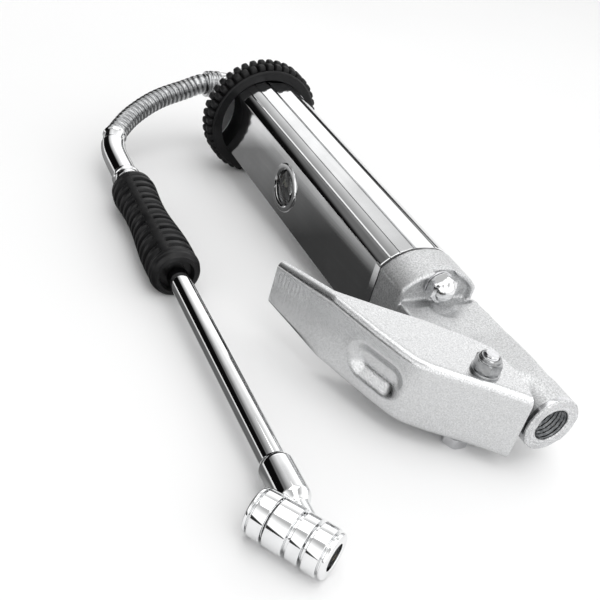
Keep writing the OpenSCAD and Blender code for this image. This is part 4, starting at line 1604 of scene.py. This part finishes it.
    def _print(self, shop: Workshop) -> None:
        """Marks and plain numbers on the scale drum, wrapped round it.

        Args:
            shop: where pieces are dressed.
        """
        zero, step = LAYOUT.lens_x, self.mark_step
        marks, reds = [], []
        for bar in range(self.last_mark + 1):
            wide = 0.32 if bar % 2 == 0 else 0.18
            reach = 0.62 if bar % 2 == 0 else 0.38
            mark = self._arc(zero - bar * step, wide, -reach, 0.1)
            (reds if bar == self.limit_mark else marks).append(mark)
        digits = [self._number(str(bar), zero - bar * step) for bar in range(0, self.last_mark + 1, 2)]
        shop.add(joined("scale_marks", marks), INK, "gauge")
        shop.add(joined("scale_limit", reds + [self._arc(zero + 3.2, 1.0, -0.9, 0.9)]), RED_INK, "gauge")
        shop.add(joined("scale_numbers", digits), INK, "gauge")

    def _arc(self, x: float, wide: float, low: float, high: float) -> bpy.types.Object:
        """A thin printed line round part of the drum.

        Args:
            x: its place along the tool.
            wide: its width along the tool.
            low: the angle it starts at, from the lever's side.
            high: the angle it ends at.

        Returns:
            The new object.
        """
        angle = np.linspace(low, high, 24)
        square = np.array([(-wide / 2, 0.0), (wide / 2, 0.0), (wide / 2, 0.07), (-wide / 2, 0.07)])
        r = self.drum_r + square[None, :, 1]
        ring = np.stack([np.broadcast_to(x + square[None, :, 0], (24, 4)), r * np.cos(angle)[:, None],
                         r * np.sin(angle)[:, None]], -1)
        ends = [np.repeat(ring[k].mean(0)[None, None], 4, 1) for k in (0, -1)]
        return solid("line", np.concatenate([ends[0], ring, ends[1]]), LAYOUT.barrel(0))

    def _number(self, words: str, x: float) -> bpy.types.Object:
        """A plain number wrapped on the drum, its foot towards the mark.

        Args:
            words: the number's digits.
            x: its place along the tool.

        Returns:
            The new object.
        """
        data = bpy.data.curves.new("number", "FONT")
        data.body = words
        data.size = 3.0
        data.extrude = 0.04
        data.align_x = "LEFT"
        data.align_y = "CENTER"
        data.resolution_u = 3
        text = bpy.data.objects.new("number", data)
        bpy.context.scene.collection.objects.link(text)
        bpy.context.view_layer.update()
        mesh = bpy.data.meshes.new_from_object(text.evaluated_get(bpy.context.evaluated_depsgraph_get()))
        bpy.data.objects.remove(text)
        co = np.empty(len(mesh.vertices) * 3)
        mesh.vertices.foreach_get("co", co)
        co = co.reshape(-1, 3)
        angle = 0.16 + co[:, 0] / self.drum_r
        r = self.drum_r + 0.04 + co[:, 2]
        wrapped = np.stack([x - co[:, 1], r * np.cos(angle), r * np.sin(angle)], 1)
        mesh.vertices.foreach_set("co", applied(wrapped, LAYOUT.barrel(0)).ravel())
        mesh.update()
        tidied(mesh, 1e-6)
        return new_object("number", mesh)


# ---------------------------------------------------------------- lance


@dataclass
class Lance:
    """The bright tube with its sleeve, grip, adapter and two-way chuck."""

    grip_at: float = 114.0
    grip_len: float = 71.0
    grip_r: float = 9.6
    grooves: int = 13

    def build(self, shop: Workshop) -> None:
        """Make the lance's pieces.

        Args:
            shop: where pieces are dressed.
        """
        place = LAYOUT.lance
        shop.add(turned("bright_tube", [(10, 2.6), (10, 4), (192, 4), (192, 2.6)], place, 0.2, 96), CHROME,
                 "tool", "lance_tube")
        shop.add(turned("crimped_sleeve",
                        [(185, 4.02), (185, 5.5), (186, 6), (188, 6), (188.4, 5.6), (189.4, 5.6),
                         (189.8, 6), (191.4, 6),
                                           (192, 5.5), (192, 4.02)], place, 0.25), PLATE, "tool",
                 "lance_sleeve")
        shop.add(self._grip(), GRIP_RUBBER, "tool", "grip")
        shop.add(self._adapter(), CHROME, "tool", "chuck_adapter")
        shop.add(self._body(), CHROME, "tool", "chuck_body")
        shop.add(joined("bright_caps", [self._cap(turn) for turn in (0, math.pi)]), CHROME, "tool",
                 "chuck_caps")

    def _grip(self) -> bpy.types.Object:
        """The moulded grip: a waisted sleeve with rows of cross grooves between four lengthwise webs.

        Returns:
            The new object.
        """
        rows, sides = 300, 160
        s = np.linspace(0, self.grip_len, rows)[:, None]
        angle = np.arange(sides)[None, :] * FULL / sides
        swell = self.grip_r - 0.8 + 0.8 * np.cos(np.radians(s * 360 / 62 - 70)) - 0.03 * np.clip(s - 60, 0,
                                                                                                 None) ** 2
        swell = swell - 1.1 * (1 - smooth_step(s / 1.6)) - 1.2 * smooth_step((s - 69.8) / 1.2)
        beat = (s - 6.5) / (57.0 / self.grooves)
        inside = smooth_step((s - 5.5) / 1.0) * smooth_step((64.5 - s) / 1.0)
        cut = smooth_step((np.cos(beat * FULL) + 0.25) / 0.7)
        web = np.abs(((angle + 0.5) / (FULL / 4)) % 1.0 - 0.5) * 2
        open_ = smooth_step((0.80 - web) / 0.10)
        radius = swell - 1.5 * cut * inside * open_
        radius = radius + 0.35 * (np.exp(-((s - 3.4) / 0.7) ** 2) + np.exp(-((s - 66.4) / 0.7) ** 2))
        radius = np.minimum(radius, self.grip_r)
        outer = np.stack([np.broadcast_to(s, radius.shape), radius * np.cos(angle), radius * np.sin(angle)],
                         -1)
        inner = spun(np.array([(71.0, 6.2), (70.0, 5.2), (69.0, 4.02), (3.0, 4.02), (3.0, 6.0),
                               (0.0, 6.6)]), sides)
        return solid("moulded_grip", np.concatenate([outer, inner]),
                     LAYOUT.lance @ moved(self.grip_at, 0, 0), True, 50)

    def _adapter(self) -> bpy.types.Object:
        """The adapter that joins the tube to the chuck's side.

        Returns:
            The new object.
        """
        corners = [(-8, 0), (-8, 3.6), (-2.4, 3.6), (-1.6, 4.3), (0, 5.2), (0.6, 5.4), (13.6, 5.4),
                   (14.6, 5.0), (15.8, 4.3), (16, 4.02), (16, 0)]
        return turned("adapter_body", corners, LAYOUT.lance, 0.4, 96, False)

    def _body(self) -> bpy.types.Object:
        """The chuck's body: bands with a thick groove and a step, bored from both ends to a web.

        Returns:
            The new object.
        """
        corners = [(-6.3, 3.4), (-6.3, 5.4), (-5.4, 5.4), (-5.3, 7.0), (-1.5, 7.0), (-1.4, 5.6),
                   (-0.4, 5.6), (-0.3, 7.2), (5.75, 7.2),
                   (5.85, 5.5), (6.4, 5.5), (6.4, 3.4),
                   (0.4, 3.4), (0.4, 1.6), (-0.4, 1.6), (-0.4, 3.4)]
        return turned("bright_body", corners, LAYOUT.chuck, 0.22, 128)

    def _cap(self, turn: float) -> bpy.types.Object:
        """One of the chuck's screwed ends, with its mouth.

        Args:
            turn: 0 for one end and half a turn for the other, in radians.

        Returns:
            The new object.
        """
        corners = [(0, 4.0), (0, 6.2), (0.35, 6.7), (1.2, 6.75), (1.3, 5.6), (1.9, 5.6), (2.0, 7.15),
                   (6.1, 7.2), (6.1, 5.3), (2.6, 5.2), (2.6, 4.0)]
        return turned("cap", corners, LAYOUT.chuck @ turned_z(turn) @ moved(-12.6, 0, 0), 0.2, 128)


# ---------------------------------------------------------------- all of it


@dataclass
class Inside:
    """The frame's own nodes that keep their shape and get a finish."""

    finishes: list[tuple[Finish, tuple[str, ...]]] = field(default_factory=lambda: [
        (BRASS, ("inlet_filter", "valve_seat", "valve_cap", "pivot_bush", "gauge_cylinder", "gauge_piston",
                 "chuck_pin_front", "chuck_pin_rear")),
        (SEAL, ("valve_disc", "spindle_seals", "front_gasket", "rear_gasket", "lens_gasket", "piston_seal",
                "chuck_seals")),
        (SPRING, ("valve_spring", "gauge_spring", "chuck_springs")),
        (STEEL, ("spindle", "tie_rods", "barrel_screw", "guide_rod")),
        (SCALE, ("scale_drum",)),
    ])

    def build(self, shop: Workshop) -> None:
        """Dress the nodes.

        Args:
            shop: where pieces are dressed.
        """
        for finish, names in self.finishes:
            shop.dress(finish, *names)


def main() -> None:
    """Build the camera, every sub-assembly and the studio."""
    logging.basicConfig(level=logging.INFO, format="%(name)s %(message)s")
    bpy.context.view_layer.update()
    studio = Studio()
    studio.camera()
    shop = Workshop()
    for part in (Hose(), ValveBlock(), Lever(), GaugeBarrel(), Lance(), Inside()):
        part.build(shop)
        log.info("%s is done", type(part).__name__)
    studio.build()


if __name__ == "__main__":
    main()
